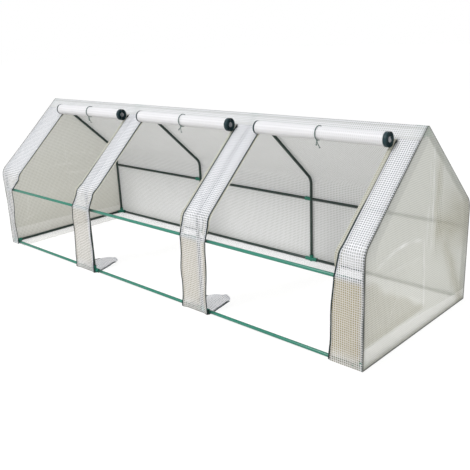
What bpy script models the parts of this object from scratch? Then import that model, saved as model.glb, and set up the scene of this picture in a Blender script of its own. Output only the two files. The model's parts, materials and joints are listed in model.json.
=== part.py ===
# Low tunnel greenhouse. Bent steel tubes and rails meet in plastic joints under a grid-reinforced cover,
# whose front doors are rolled up below the ridge between narrow strips of cover.
# Metres, +Z up. The length runs along X, the doors face -Y, and the origin is on the ground in the middle.
import math

import bmesh
import bpy
from mathutils import Matrix, Vector

# Overall size, outside the cover
LENGTH = 2.70
DEPTH = 0.90
HEIGHT = 0.90
BAYS = 3

# Tubes
TUBE_DIAMETER = 0.016
BEND_HEIGHT = 0.485  # where the axes of leg and rafter would cross
BEND_RADIUS = 0.07
MID_RAIL_HEIGHT = 0.37

# Plastic joints, with sleeves measured from where the tube axes cross
JOINT_WALL = 0.0025
RAIL_SLEEVE = 0.038
LEG_SLEEVE = 0.025
RAFTER_SLEEVE = 0.042

# Cover
SHEET_THICKNESS = 0.0015  # a thin sheet with its slack and hems
SKIRT_WIDTH = 0.13  # lies on the ground inside the rear wall and both gables
FLAP_LENGTH = 0.19  # lies on the ground inside each middle strip
HEM = 0.004  # keeps neighbouring edges of the skirt apart
BAND_WIDTH = 0.07  # from the ridge down the front slope, to the top seam of the doors
REAR_SLOPE_SAG = 0.010
REAR_WALL_SAG = 0.002
GABLE_SAG = 0.007
GABLE_CREASE = 0.004
GABLE_CREASE_WIDTH = 0.05
GABLE_CREASE_LEAN = 0.12  # sideways for each metre up
STRIP_EDGE_WAVE = 0.004
STRIP_EDGE_HALF_WAVES = 3  # from the foot to the bend
STRIP_RIGHT_EDGE_PHASE = 1.5  # radians by which the right edge's waves lead the left edge's

# Door-side edges of the front strips, along X from the strip's own arch: on the roof, at the bend,
# at the mid rail and at the foot
LEFT_STRIP_EDGE = (0.195, 0.172, 0.067, 0.037)
MIDDLE_STRIP_EDGES = [
    ((-0.039, -0.074, -0.134, -0.156), (0.103, 0.071, 0.021, 0.011)),
    ((-0.071, -0.086, -0.111, -0.124), (0.079, 0.074, 0.049, 0.038)),
]
RIGHT_STRIP_EDGE = (-0.089, -0.102, -0.123, -0.145)

# Rolled doors
ROLL_DIAMETER = 0.064
ROLL_CORE_DIAMETER = 0.020
ROLL_DROP = 0.100  # from the ridge down the front slope to the middle of the roll
ROLL_END_CLEARANCE = 0.006
DOOR_GROUND_CLEARANCE = 0.005  # under a closed door
TIE_DIAMETER = 0.004
TIE_BITE = 0.0013  # how far the tie sinks into the outer turn

# Zip sliders
SLIDER_WIDTH = 0.009
SLIDER_LENGTH = 0.012
SLIDER_HEIGHT = 0.004
SLIDER_OVERHANG = 0.0025  # past the strip's edge
SLIDER_START = 0.012  # below the top seam of the doors
PULL_WIDTH = 0.004
PULL_LENGTH = 0.016
PULL_THICKNESS = 0.0014

# Gap between pieces that touch
SEAT = 0.0003

# Facets
TUBE_BEVEL_RESOLUTION = 3
JOINT_SIDES = 12
SHARP_ANGLE = math.radians(40)
BEND_STEPS = 6
RIDGE_STEPS = 4
REAR_WALL_STEPS = 3
REAR_SLOPE_STEPS = 5
REAR_BAY_COLUMNS = 4
GABLE_COLUMNS = 10
GABLE_WALL_STEPS = 4
GABLE_BEND_STEPS = 3
GABLE_SLOPE_STEPS = 5
STRIP_COLUMNS = 4
STRIP_WALL_STEPS = 8
STRIP_SLOPE_STEPS = 4
ROLL_STEPS_PER_TURN = 16
TIE_STEPS = 20
TIE_SIDES = 6

# Sizes that follow from these
TUBE_RADIUS = TUBE_DIAMETER / 2
BORE_RADIUS = (TUBE_RADIUS + SEAT) / math.cos(math.pi / JOINT_SIDES)
JOINT_RADIUS = TUBE_RADIUS + SEAT + JOINT_WALL
TUBE_START = JOINT_RADIUS + SEAT
INSET = SHEET_THICKNESS + SEAT + JOINT_RADIUS
SHEET_OFFSET = INSET - SHEET_THICKNESS / 2
GROUND_Z = SHEET_THICKNESS / 2
LEG_Y = DEPTH / 2 - INSET
RIDGE_Z = HEIGHT - INSET
RAFTER = math.hypot(LEG_Y, RIDGE_Z - BEND_HEIGHT)
SLOPE = math.atan2(RIDGE_Z - BEND_HEIGHT, LEG_Y)
BEND_TURN = math.pi / 2 - SLOPE
BEND_TANGENT = BEND_RADIUS * math.tan(BEND_TURN / 2)
WALL_TOP = BEND_HEIGHT - BEND_TANGENT
END_X = LENGTH / 2 - INSET
BAY_LENGTH = 2 * END_X / BAYS
ARCH_X = [-END_X + i * BAY_LENGTH for i in range(BAYS + 1)]
SHEET_END_X = LENGTH / 2 - SHEET_THICKNESS - SEAT
SEAM_DROP = BAND_WIDTH + SEAT
ROLL_OUTER_TURN = (ROLL_DIAMETER - SHEET_THICKNESS) / 2

ALONG_X = Vector((1, 0, 0))
ALONG_Y = Vector((0, 1, 0))
UPWARD = Vector((0, 0, 1))


# Scene

def clear_scene():
    for thing in list(bpy.data.objects):
        bpy.data.objects.remove(thing, do_unlink=True)


def new_collection(name):
    collection = bpy.data.collections.new(name)
    bpy.context.scene.collection.children.link(collection)
    return collection


def new_material(name, colour, roughness, metallic=0.0, alpha=1.0):
    material = bpy.data.materials.new(name)
    material.use_nodes = True
    shader = material.node_tree.nodes["Principled BSDF"]
    shader.inputs["Base Color"].default_value = (*colour, 1.0)
    shader.inputs["Roughness"].default_value = roughness
    shader.inputs["Metallic"].default_value = metallic
    shader.inputs["Alpha"].default_value = alpha
    return material


def place(name, shape, material, matrix=None):
    thing = bpy.data.objects.new(name, shape)
    thing.matrix_world = matrix or Matrix.Identity(4)
    if not shape.materials:
        shape.materials.append(material)
    part_collection.objects.link(thing)
    return thing


def helper(name, shape, matrix=None):
    thing = bpy.data.objects.new(name, shape)
    thing.matrix_world = matrix or Matrix.Identity(4)
    thing.hide_render = True
    thing.display_type = "WIRE"
    helper_collection.objects.link(thing)
    return thing


def mesh_from(name, shape):
    mesh = bpy.data.meshes.new(name)
    shape.to_mesh(mesh)
    shape.free()
    return mesh


def shade_smooth(mesh):
    mesh.shade_smooth()
    mesh.set_sharp_from_angle(angle=SHARP_ANGLE)


def add_boolean(thing, operation, other):
    modifier = thing.modifiers.new(other.name, "BOOLEAN")
    modifier.operation = operation
    modifier.object = other


def carved_mesh(name, base, cuts):
    """The base mesh after each (operation, mesh) in turn."""
    body = helper(name, base)
    for i, (operation, mesh) in enumerate(cuts):
        add_boolean(body, operation, helper(f"{name}_{operation.lower()}_{i + 1}", mesh))
    bpy.context.view_layer.update()
    graph = bpy.context.evaluated_depsgraph_get()
    result = bpy.data.meshes.new_from_object(body.evaluated_get(graph))
    shade_smooth(result)
    return result


# The house-shaped section, as points (y, z) of its front half at a distance outside the tube axes

def slope_point(down, offset):
    y = -down * math.cos(SLOPE) - offset * math.sin(SLOPE)
    z = RIDGE_Z - down * math.sin(SLOPE) + offset * math.cos(SLOPE)
    return (y, z)


def section(offset, foot, top_drop, wall_steps, slope_steps):
    points = []
    for i in range(wall_steps + 1):
        points.append((-LEG_Y - offset, foot + (WALL_TOP - foot) * i / wall_steps))
    for i in range(1, BEND_STEPS + 1):
        angle = BEND_TURN * i / BEND_STEPS
        radius = BEND_RADIUS + offset
        y = BEND_RADIUS - LEG_Y - radius * math.cos(angle)
        points.append((y, WALL_TOP + radius * math.sin(angle)))
    bend_drop = RAFTER - BEND_TANGENT
    for i in range(1, slope_steps + 1):
        points.append(slope_point(bend_drop + (top_drop - bend_drop) * i / slope_steps, offset))
    return points


def roof_matrix(x, down, offset):
    """A place on the front slope, with +Z away from the roof and -Y down the slope."""
    return Matrix.Translation((x, *slope_point(down, offset))) @ Matrix.Rotation(SLOPE, 4, "X")


# Tubes and rails

def tube_curve(name, points):
    curve = bpy.data.curves.new(name, "CURVE")
    curve.dimensions = "3D"
    curve.bevel_depth = TUBE_RADIUS
    curve.bevel_resolution = TUBE_BEVEL_RESOLUTION
    curve.use_fill_caps = True
    spline = curve.splines.new("POLY")
    spline.points.add(len(points) - 1)
    for point, place_of_point in zip(spline.points, points):
        point.co = (*place_of_point, 1)
    return curve


def straight_tube(name, direction, length):
    return tube_curve(name, [-direction * length / 2, direction * length / 2])


def make_arches():
    path = section(0, INSET + TUBE_START, TUBE_START, 1, 1)
    for side, side_name in ((-1, "front"), (1, "rear")):
        tube = tube_curve(f"arch_{side_name}", [(0, -side * y, z) for y, z in path])
        for i, x in enumerate(ARCH_X):
            place(f"arch_{i + 1}_{side_name}_tube", tube, steel, Matrix.Translation((x, 0, 0)))


def make_rails():
    bay_rail = straight_tube("bay_rail", ALONG_X, BAY_LENGTH - 2 * TUBE_START)
    for level, z in (("mid", MID_RAIL_HEIGHT), ("bottom", INSET)):
        for side, side_name in ((-1, "front"), (1, "rear")):
            for bay in range(BAYS):
                spot = Matrix.Translation((ARCH_X[bay] + BAY_LENGTH / 2, side * LEG_Y, z))
                place(f"{side_name}_{level}_rail_{bay + 1}", bay_rail, steel, spot)
    gable_rail = straight_tube("gable_rail", ALONG_Y, 2 * (LEG_Y - TUBE_START))
    for side, side_name in ((-1, "left"), (1, "right")):
        spot = Matrix.Translation((side * END_X, 0, INSET))
        place(f"{side_name}_gable_bottom_rail", gable_rail, steel, spot)
    pole = straight_tube("pole", ALONG_X, 2 * (END_X + TUBE_RADIUS))
    place("ridge_pole", pole, steel, Matrix.Translation((0, 0, RIDGE_Z)))


# Joints

def rod_mesh(direction, start, end, radius):
    turn = UPWARD.rotation_difference(direction).to_matrix().to_4x4()
    flats_outward = Matrix.Rotation(math.pi / JOINT_SIDES, 4, "Z")
    shape = bmesh.new()
    bmesh.ops.create_cone(
        shape,
        cap_ends=True,
        segments=JOINT_SIDES,
        radius1=radius,
        radius2=radius,
        depth=end - start,
        matrix=turn @ flats_outward @ Matrix.Translation((0, 0, (start + end) / 2)),
    )
    return mesh_from("rod", shape)


def joint_mesh(name, sleeves, bores):
    cuts = [("UNION", rod_mesh(*sleeve, JOINT_RADIUS)) for sleeve in sleeves[1:]]
    cuts += [("DIFFERENCE", rod_mesh(*bore, BORE_RADIUS)) for bore in bores]
    return carved_mesh(name, rod_mesh(*sleeves[0], JOINT_RADIUS), cuts)


def socket(direction, reach):
    """The bore of one arm, open at its end and stopped short of the tubes that cross the middle."""
    return (direction, JOINT_RADIUS, reach + JOINT_WALL)


def make_ridge_joints():
    rafters = [Vector((0, side * math.cos(SLOPE), -math.sin(SLOPE))) for side in (-1, 1)]
    arms = [(rafter, 0, RAFTER_SLEEVE) for rafter in rafters]
    sockets = [socket(rafter, RAFTER_SLEEVE) for rafter in rafters]
    capped = (ALONG_X, -JOINT_RADIUS, RAIL_SLEEVE)
    capped_bore = (ALONG_X, -TUBE_RADIUS - SEAT, RAIL_SLEEVE + JOINT_WALL)
    through = (ALONG_X, -RAIL_SLEEVE, RAIL_SLEEVE)
    through_bore = (ALONG_X, -RAIL_SLEEVE - JOINT_WALL, RAIL_SLEEVE + JOINT_WALL)
    end = joint_mesh("ridge_joint_end", [capped] + arms, [capped_bore] + sockets)
    middle = joint_mesh("ridge_joint_middle", [through] + arms, [through_bore] + sockets)
    for i, x in enumerate(ARCH_X):
        turn = Matrix.Rotation(math.pi if i == BAYS else 0, 4, "Z")
        mesh = end if i in (0, BAYS) else middle
        place(f"ridge_joint_{i + 1}", mesh, plastic, Matrix.Translation((x, 0, RIDGE_Z)) @ turn)


def make_mid_joints():
    leg = (UPWARD, -LEG_SLEEVE, LEG_SLEEVE)
    leg_bore = (UPWARD, -LEG_SLEEVE - JOINT_WALL, LEG_SLEEVE + JOINT_WALL)
    arm = (ALONG_X, 0, RAIL_SLEEVE)
    arms = (ALONG_X, -RAIL_SLEEVE, RAIL_SLEEVE)
    inner_socket = socket(ALONG_X, RAIL_SLEEVE)
    outer_socket = socket(-ALONG_X, RAIL_SLEEVE)
    end = joint_mesh("mid_joint_end", [leg, arm], [leg_bore, inner_socket])
    middle = joint_mesh("mid_joint_middle", [leg, arms], [leg_bore, inner_socket, outer_socket])
    for side, side_name in ((-1, "front"), (1, "rear")):
        for i, x in enumerate(ARCH_X):
            turn = Matrix.Rotation(math.pi if i == BAYS else 0, 4, "Z")
            spot = Matrix.Translation((x, side * LEG_Y, MID_RAIL_HEIGHT)) @ turn
            place(f"{side_name}_mid_joint_{i + 1}", end if i in (0, BAYS) else middle, plastic, spot)


def make_foot_joints():
    leg = (UPWARD, -JOINT_RADIUS, LEG_SLEEVE)
    leg_socket = socket(UPWARD, LEG_SLEEVE)
    arms = (ALONG_X, -RAIL_SLEEVE, RAIL_SLEEVE)
    corner_arms = [(ALONG_X, 0, RAIL_SLEEVE), (ALONG_Y, 0, RAIL_SLEEVE)]
    corner_sockets = [socket(ALONG_X, RAIL_SLEEVE), socket(ALONG_Y, RAIL_SLEEVE)]
    middle_sockets = [socket(ALONG_X, RAIL_SLEEVE), socket(-ALONG_X, RAIL_SLEEVE)]
    corner = joint_mesh("foot_joint_corner", [leg] + corner_arms, [leg_socket] + corner_sockets)
    middle = joint_mesh("foot_joint_middle", [leg, arms], [leg_socket] + middle_sockets)
    quarter_turns = {("front", 0): 0, ("front", BAYS): 1, ("rear", BAYS): 2, ("rear", 0): 3}
    for side, side_name in ((-1, "front"), (1, "rear")):
        for i, x in enumerate(ARCH_X):
            turn = Matrix.Rotation(quarter_turns.get((side_name, i), 0) * math.pi / 2, 4, "Z")
            spot = Matrix.Translation((x, side * LEG_Y, INSET)) @ turn
            place(f"{side_name}_foot_joint_{i + 1}", corner if i in (0, BAYS) else middle, plastic, spot)


# Cover. Each sheet is a grid whose points a function puts in place by column and row, with a thickness.

def make_sheet(name, columns, rows, point_at, material, matrix=None, missing=()):
    shape = bmesh.new()
    bmesh.ops.create_grid(shape, x_segments=columns, y_segments=rows, size=1)
    cells = {}
    for vertex in shape.verts:
        cells[vertex] = (round((vertex.co.x + 1) / 2 * columns), round((vertex.co.y + 1) / 2 * rows))
    unwanted = [face for face in shape.faces if min(cells[vertex] for vertex in face.verts) in missing]
    for vertex, (column, row) in cells.items():
        vertex.co = point_at(column, row)
    bmesh.ops.delete(shape, geom=unwanted, context="FACES")
    mesh = mesh_from(name, shape)
    shade_smooth(mesh)
    thing = place(name, mesh, material, matrix)
    modifier = thing.modifiers.new("thickness", "SOLIDIFY")
    modifier.thickness = SHEET_THICKNESS
    modifier.offset = 0
    modifier.use_even_offset = True
    modifier.use_quality_normals = True
    return thing


def make_rear_sheet():
    profile = section(SHEET_OFFSET, GROUND_Z, 0, REAR_WALL_STEPS, REAR_SLOPE_STEPS)
    rows = [(DEPTH / 2 - SKIRT_WIDTH, GROUND_Z, 0.0)]
    for i, (y, z) in enumerate(profile):
        wall_sag = REAR_WALL_SAG * math.sin(math.pi * min(i / REAR_WALL_STEPS, 1))
        slope_share = max(i - REAR_WALL_STEPS, 0) / (len(profile) - 1 - REAR_WALL_STEPS)
        rows.append((-y, z, wall_sag + REAR_SLOPE_SAG * math.sin(math.pi * slope_share)))
    for i in range(1, RIDGE_STEPS + 1):
        angle = SLOPE * (2 * i / RIDGE_STEPS - 1)
        rows.append((-SHEET_OFFSET * math.sin(angle), RIDGE_Z + SHEET_OFFSET * math.cos(angle), 0.0))
    rows.append((*slope_point(BAND_WIDTH, SHEET_OFFSET), 0.0))
    columns = [(-SHEET_END_X, 0.0)]
    for i in range(BAYS * REAR_BAY_COLUMNS + 1):
        bay_share = i / REAR_BAY_COLUMNS
        columns.append((ARCH_X[0] + BAY_LENGTH * bay_share, abs(math.sin(math.pi * bay_share))))
    columns.append((SHEET_END_X, 0.0))

    def point_at(column, row):
        x, hang = columns[column]
        y, z, sag = rows[row]
        if row == 0:
            return (x * (LENGTH / 2 - SKIRT_WIDTH - HEM) / SHEET_END_X, y, z)
        inward = Vector((y, z - BEND_HEIGHT)).normalized() * sag * hang
        return (x, y - inward.x, z - inward.y)

    make_sheet("cover_rear_sheet", len(columns) - 1, len(rows) - 1, point_at, cover)


def half_width(z):
    """How far the outside of the cover reaches from the middle plane at a height."""
    if z <= WALL_TOP:
        return DEPTH / 2
    if z <= WALL_TOP + (BEND_RADIUS + INSET) * math.sin(BEND_TURN):
        return LEG_Y - BEND_RADIUS + math.sqrt((BEND_RADIUS + INSET) ** 2 - (z - WALL_TOP) ** 2)
    if z <= RIDGE_Z + INSET * math.cos(SLOPE):
        return (RIDGE_Z + INSET / math.cos(SLOPE) - z) / math.tan(SLOPE)
    return math.sqrt(INSET**2 - (z - RIDGE_Z) ** 2)


def gable_heights():
    wall = WALL_TOP - GROUND_Z
    heights = [GROUND_Z + wall * i / GABLE_WALL_STEPS for i in range(GABLE_WALL_STEPS + 1)]
    for i in range(1, GABLE_BEND_STEPS + 1):
        turn = BEND_TURN * i / GABLE_BEND_STEPS
        heights.append(WALL_TOP + (BEND_RADIUS + INSET) * math.sin(turn))
    bend_top = heights[-1]
    slope_top = RIDGE_Z + INSET * math.cos(SLOPE)
    for i in range(1, GABLE_SLOPE_STEPS + 1):
        heights.append(bend_top + (slope_top - bend_top) * i / GABLE_SLOPE_STEPS)
    heights.append(RIDGE_Z + INSET * math.cos(SLOPE / 2))
    heights.append(HEIGHT - SEAT)
    return heights


def make_gable(side, name):
    heights = gable_heights()
    last_column = GABLE_COLUMNS
    hem_share = 1 - 2 * HEM / DEPTH

    def point_at(column, row):
        inner_share = min(max((column - 1) / (last_column - 2), 0), 1)
        if row == 0:
            front = HEM - DEPTH / 2
            rear = DEPTH / 2 - SKIRT_WIDTH - HEM
            return (side * (LENGTH / 2 - SKIRT_WIDTH), front + (rear - front) * inner_share, GROUND_Z)
        z = heights[row - 1]
        share = {0: -1, last_column: 1}.get(column, hem_share * (2 * inner_share - 1))
        y = share * half_width(z)
        crease = GABLE_CREASE * math.exp(-(((y - GABLE_CREASE_LEAN * z) / GABLE_CREASE_WIDTH) ** 2))
        slack = (1 - share**2) ** 2 * math.sin(math.pi * z / HEIGHT) ** 2
        return (side * (LENGTH / 2 - SHEET_THICKNESS / 2 - slack * (GABLE_SAG - crease)), y, z)

    corners = {(0, 0), (last_column - 1, 0)}
    make_sheet(name, last_column, len(heights), point_at, cover, missing=corners)


def smooth_step(share):
    return share**2 * (3 - 2 * share)


def edge_place(edge, bend_share, wall_share, phase):
    """Place of a strip's edge along X. The wall share goes from 0 to 1 up the wall, then the other does."""
    roof, bend, mid, foot = edge
    mid_share = MID_RAIL_HEIGHT / WALL_TOP
    wave_turn = STRIP_EDGE_HALF_WAVES * math.pi * wall_share + phase
    wave = STRIP_EDGE_WAVE * math.sin(wave_turn) * (1 - wall_share)
    if wall_share >= 1:
        return bend + (roof - bend) * smooth_step(min(bend_share, 1))
    if wall_share >= mid_share:
        return mid + (bend - mid) * (wall_share - mid_share) / (1 - mid_share) + wave
    return foot + (mid - foot) * wall_share / mid_share + wave


def make_strip(name, left_at, right_at, flap):
    foot = GROUND_Z if flap else 0
    profile = section(SHEET_OFFSET, foot, SEAM_DROP, STRIP_WALL_STEPS, STRIP_SLOPE_STEPS)
    rows = []
    if flap:
        rows.append((FLAP_LENGTH - DEPTH / 2, GROUND_Z, 0.0, 0.0))
        rows.append((FLAP_LENGTH / 2 - DEPTH / 2, GROUND_Z, 0.0, 0.0))
    for i, (y, z) in enumerate(profile):
        rows.append((y, z, max(i - STRIP_WALL_STEPS, 0) / BEND_STEPS, min(i / STRIP_WALL_STEPS, 1)))

    def point_at(column, row):
        y, z, bend_share, wall_share = rows[row]
        left = left_at(bend_share, wall_share)
        right = right_at(bend_share, wall_share)
        return (left + (right - left) * column / STRIP_COLUMNS, y, z)

    make_sheet(name, STRIP_COLUMNS, len(rows) - 1, point_at, cover)


def strip_edges(i):
    """The left and right edge of a strip as functions, at an end of the cover or beside a door."""
    middle = MIDDLE_STRIP_EDGES[(i - 1) % len(MIDDLE_STRIP_EDGES)]
    left = middle[0] if i < BAYS else RIGHT_STRIP_EDGE
    right = middle[1] if i > 0 else LEFT_STRIP_EDGE

    def left_at(bend_share, wall_share):
        if i == 0:
            return -SHEET_END_X
        return ARCH_X[i] + edge_place(left, bend_share, wall_share, 0)

    def right_at(bend_share, wall_share):
        if i == BAYS:
            return SHEET_END_X
        return ARCH_X[i] + edge_place(right, bend_share, wall_share, STRIP_RIGHT_EDGE_PHASE)

    return left_at, right_at


def make_cover():
    make_rear_sheet()
    make_gable(-1, "cover_left_gable")
    make_gable(1, "cover_right_gable")
    for i in range(BAYS + 1):
        left_at, right_at = strip_edges(i)
        make_strip(f"cover_front_strip_{i + 1}", left_at, right_at, 0 < i < BAYS)


# Rolled doors. Each is one sheet from its top seam down the slope and wound up, tied round the middle.

def roll_profile():
    """Points (y, z) of the sheet's middle, seen from the middle of the roll with -Y down the slope."""
    outer = ROLL_OUTER_TURN
    inner = ROLL_CORE_DIAMETER / 2
    wound_length = RAFTER - SEAM_DROP + BEND_HEIGHT - DOOR_GROUND_CLEARANCE
    turns = wound_length / (math.pi * (outer + inner))
    steps = round(turns * ROLL_STEPS_PER_TURN)
    points = [(ROLL_DROP - SEAM_DROP, -outer)]
    for i in range(steps + 1):
        angle = 2 * math.pi * turns * i / steps
        radius = outer - (outer - inner) * i / steps
        points.append((-radius * math.sin(angle), -radius * math.cos(angle)))
    return points


def least_gap(points):
    """Between the faces of neighbouring turns, measured from point to point."""
    near = ROLL_STEPS_PER_TURN // 2
    pairs = [(i, j) for i in range(1, len(points)) for j in range(i + near, len(points))]
    return min(math.dist(points[i], points[j]) for i, j in pairs) - SHEET_THICKNESS


def make_doors():
    profile = roll_profile()
    print(f"least gap between the turns of a rolled door: {least_gap(profile) * 1000:.2f} mm")
    ring_radius = ROLL_DIAMETER / 2 - TIE_BITE + TIE_DIAMETER / 2
    bpy.ops.mesh.primitive_torus_add(
        rotation=(0, math.pi / 2, 0),
        major_segments=TIE_STEPS,
        minor_segments=TIE_SIDES,
        major_radius=ring_radius,
        minor_radius=TIE_DIAMETER / 2,
    )
    tie = bpy.context.object
    for bay in range(BAYS):
        left = strip_edges(bay)[1](1, 1) + ROLL_END_CLEARANCE
        right = strip_edges(bay + 1)[0](1, 1) - ROLL_END_CLEARANCE
        half_length = (right - left) / 2
        spot = roof_matrix((left + right) / 2, ROLL_DROP, SHEET_OFFSET + ROLL_OUTER_TURN)

        def point_at(column, row):
            return ((2 * column - 1) * half_length, *profile[row])

        roll = make_sheet(f"door_{bay + 1}_roll", 1, len(profile) - 1, point_at, door, spot)
        add_boolean(roll, "UNION", helper(f"door_{bay + 1}_tie", tie.data, spot @ tie.matrix_world))
    bpy.data.objects.remove(tie)


# Zip sliders, one at each end of each door

def box_mesh(size, centre):
    shape = bmesh.new()
    bmesh.ops.create_cube(shape, size=1, matrix=Matrix.Translation(centre) @ Matrix.Diagonal((*size, 1)))
    return mesh_from("box", shape)


def make_sliders():
    body = box_mesh((SLIDER_WIDTH, SLIDER_LENGTH, SLIDER_HEIGHT), (0, 0, SLIDER_HEIGHT / 2))
    pull = box_mesh((PULL_WIDTH, PULL_LENGTH, PULL_THICKNESS), (0, -PULL_LENGTH / 2, SLIDER_HEIGHT))
    slider = carved_mesh("slider", body, [("UNION", pull)])
    reach = SLIDER_OVERHANG - SLIDER_WIDTH / 2
    drop = SEAM_DROP + SLIDER_START + SLIDER_LENGTH / 2
    for bay in range(BAYS):
        left = strip_edges(bay)[1](1, 1) + reach
        right = strip_edges(bay + 1)[0](1, 1) - reach
        for x, side_name in ((left, "left"), (right, "right")):
            spot = roof_matrix(x, drop, INSET + SEAT)
            place(f"door_{bay + 1}_{side_name}_zip_slider", slider, zip_plastic, spot)


clear_scene()
part_collection = new_collection("tunnel_greenhouse")
helper_collection = new_collection("cutters_and_guides")
steel = new_material("green_coated_steel", (0.02, 0.13, 0.09), 0.35, metallic=0.2)
plastic = new_material("green_joint_plastic", (0.03, 0.20, 0.14), 0.50)
cover = new_material("reinforced_clear_cover", (0.80, 0.81, 0.82), 0.45, alpha=0.75)
door = new_material("rolled_door_cover", (0.78, 0.79, 0.80), 0.45)
zip_plastic = new_material("zip_plastic", (0.01, 0.02, 0.025), 0.45)
make_arches()
make_rails()
make_ridge_joints()
make_mid_joints()
make_foot_joints()
make_cover()
make_doors()
make_sliders()
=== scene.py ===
import json
import math
from functools import partial

import bpy
import numpy as np
from mathutils import Matrix, Vector, noise

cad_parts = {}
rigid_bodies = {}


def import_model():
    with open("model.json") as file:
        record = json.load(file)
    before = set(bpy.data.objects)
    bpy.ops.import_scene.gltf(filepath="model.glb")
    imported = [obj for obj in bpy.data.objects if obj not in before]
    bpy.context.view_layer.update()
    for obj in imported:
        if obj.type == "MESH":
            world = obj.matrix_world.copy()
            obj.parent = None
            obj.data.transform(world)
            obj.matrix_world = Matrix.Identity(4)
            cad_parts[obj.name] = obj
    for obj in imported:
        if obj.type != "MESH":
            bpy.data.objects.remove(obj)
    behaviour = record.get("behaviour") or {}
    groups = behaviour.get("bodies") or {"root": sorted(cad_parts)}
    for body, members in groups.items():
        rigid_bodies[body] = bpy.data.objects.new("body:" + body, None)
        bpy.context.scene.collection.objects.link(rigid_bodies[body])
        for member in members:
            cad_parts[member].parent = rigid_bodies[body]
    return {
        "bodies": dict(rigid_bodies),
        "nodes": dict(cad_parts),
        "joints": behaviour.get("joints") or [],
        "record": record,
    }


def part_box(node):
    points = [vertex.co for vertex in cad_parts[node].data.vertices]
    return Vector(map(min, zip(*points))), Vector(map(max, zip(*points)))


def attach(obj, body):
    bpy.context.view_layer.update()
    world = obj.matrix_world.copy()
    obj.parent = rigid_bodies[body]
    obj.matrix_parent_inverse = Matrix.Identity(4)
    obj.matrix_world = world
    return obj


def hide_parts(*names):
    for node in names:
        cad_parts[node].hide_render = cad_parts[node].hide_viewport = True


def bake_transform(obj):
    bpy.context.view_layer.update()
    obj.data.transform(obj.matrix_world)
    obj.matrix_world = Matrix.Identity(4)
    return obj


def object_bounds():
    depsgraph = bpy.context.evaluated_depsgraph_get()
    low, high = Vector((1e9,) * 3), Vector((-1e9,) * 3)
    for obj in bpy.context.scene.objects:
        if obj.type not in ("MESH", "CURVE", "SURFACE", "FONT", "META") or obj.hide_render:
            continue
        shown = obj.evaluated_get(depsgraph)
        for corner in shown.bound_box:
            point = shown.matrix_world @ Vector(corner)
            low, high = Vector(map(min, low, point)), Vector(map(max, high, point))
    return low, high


# Low tunnel greenhouse: green tube frame, reinforced clear cover, three doors rolled up below the ridge.
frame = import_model()
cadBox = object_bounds()
print("frame loaded")


def middleOf(node):
    low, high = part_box(node)
    return (low + high) / 2


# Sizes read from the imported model, in metres
length, depth, height = cadBox[1] - cadBox[0]
archX = [middleOf(f"arch_{i}_front_tube").x for i in range(1, 5)]
bayLength = archX[1] - archX[0]
legY = -middleOf("front_mid_rail_1").y
midRailZ = middleOf("front_mid_rail_1").z
footZ = middleOf("front_bottom_rail_1").z
ridgeZ = middleOf("ridge_pole").z
railLow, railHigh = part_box("front_mid_rail_1")
tubeRadius = (railHigh - railLow).y / 2
inset = depth / 2 - legY  # from the cover's outside to a tube's axis

# The bent legs, as the cover follows them. A place on the front is given by its travel, its distance
# from the ridge along the tubes' axes.
bend = {"height": 0.485, "radius": 0.07}
slope = math.atan2(ridgeZ - bend["height"], legY)
rafter = math.hypot(legY, ridgeZ - bend["height"])
bendTurn = math.pi / 2 - slope
bendTangent = bend["radius"] * math.tan(bendTurn / 2)
wallTop = bend["height"] - bendTangent
slopeRun = rafter - bendTangent
wallStart = slopeRun + bend["radius"] * bendTurn
footTravel = wallStart + wallTop
railTravel = footTravel - midRailZ


# Small helpers

def deselectAll():
    for thing in bpy.context.view_layer.objects.selected:
        thing.select_set(False)


def pick(thing):
    deselectAll()
    thing.select_set(True)
    bpy.context.view_layer.objects.active = thing
    return thing


def useModifier(thing, kind, **settings):
    pick(thing)
    modifier = thing.modifiers.new(kind.lower(), kind)
    for name, value in settings.items():
        setattr(modifier, name, value)
    bpy.ops.object.modifier_apply(modifier=modifier.name)
    return thing


def bevelled(thing, width, degrees):
    return useModifier(
        thing, "BEVEL", width=width, segments=2, limit_method="ANGLE", angle_limit=math.radians(degrees)
    )


def settle(thing):
    # place, turn and scale go into the mesh
    pick(thing)
    bpy.ops.object.transform_apply(location=True, rotation=True, scale=True)
    return thing


def smooth(thing, degrees=40):
    pick(thing)
    bpy.ops.object.shade_smooth_by_angle(angle=math.radians(degrees))
    return thing


def clearSelection(thing):
    for part in (thing.data.vertices, thing.data.edges, thing.data.polygons):
        part.foreach_set("select", [False] * len(part))


def editFaces(thing, test):
    # into edit mode, with the faces selected that pass the test
    clearSelection(thing)
    for face in thing.data.polygons:
        face.select = bool(test(face))
    pick(thing)
    bpy.ops.object.mode_set(mode="EDIT")


def leaveEdit():
    bpy.ops.object.mode_set(mode="OBJECT")


def mendNormals():
    bpy.ops.mesh.select_all(action="SELECT")
    bpy.ops.mesh.remove_doubles(threshold=1e-5)
    bpy.ops.mesh.normals_make_consistent(inside=False)


def blockOf(size, at=(0, 0, 0)):
    # the block that a small moulding starts from
    bpy.ops.mesh.primitive_cube_add(size=1, location=at)
    block = bpy.context.object
    block.scale = size
    return settle(block)


def newObject(name, data, matrix=Matrix()):
    thing = bpy.data.objects.new(name, data)
    thing.matrix_world = matrix
    bpy.context.scene.collection.objects.link(thing)
    return thing


def fromPoints(name, points, faces):
    mesh = bpy.data.meshes.new(name)
    mesh.from_pydata(points, [], faces)
    return newObject(name, mesh)


def joinAll(things, name):
    deselectAll()
    for thing in things:
        thing.select_set(True)
    bpy.context.view_layer.objects.active = things[0]
    bpy.ops.object.join()
    joined = bpy.context.view_layer.objects.active
    joined.name = name
    joined.data.name = name
    return joined


def copyOf(thing, name, matrix):
    copied = thing.copy()
    copied.data = thing.data.copy()
    copied.name = name
    copied.data.name = name
    bpy.context.scene.collection.objects.link(copied)
    copied.matrix_world = matrix
    return smooth(settle(copied))


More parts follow.
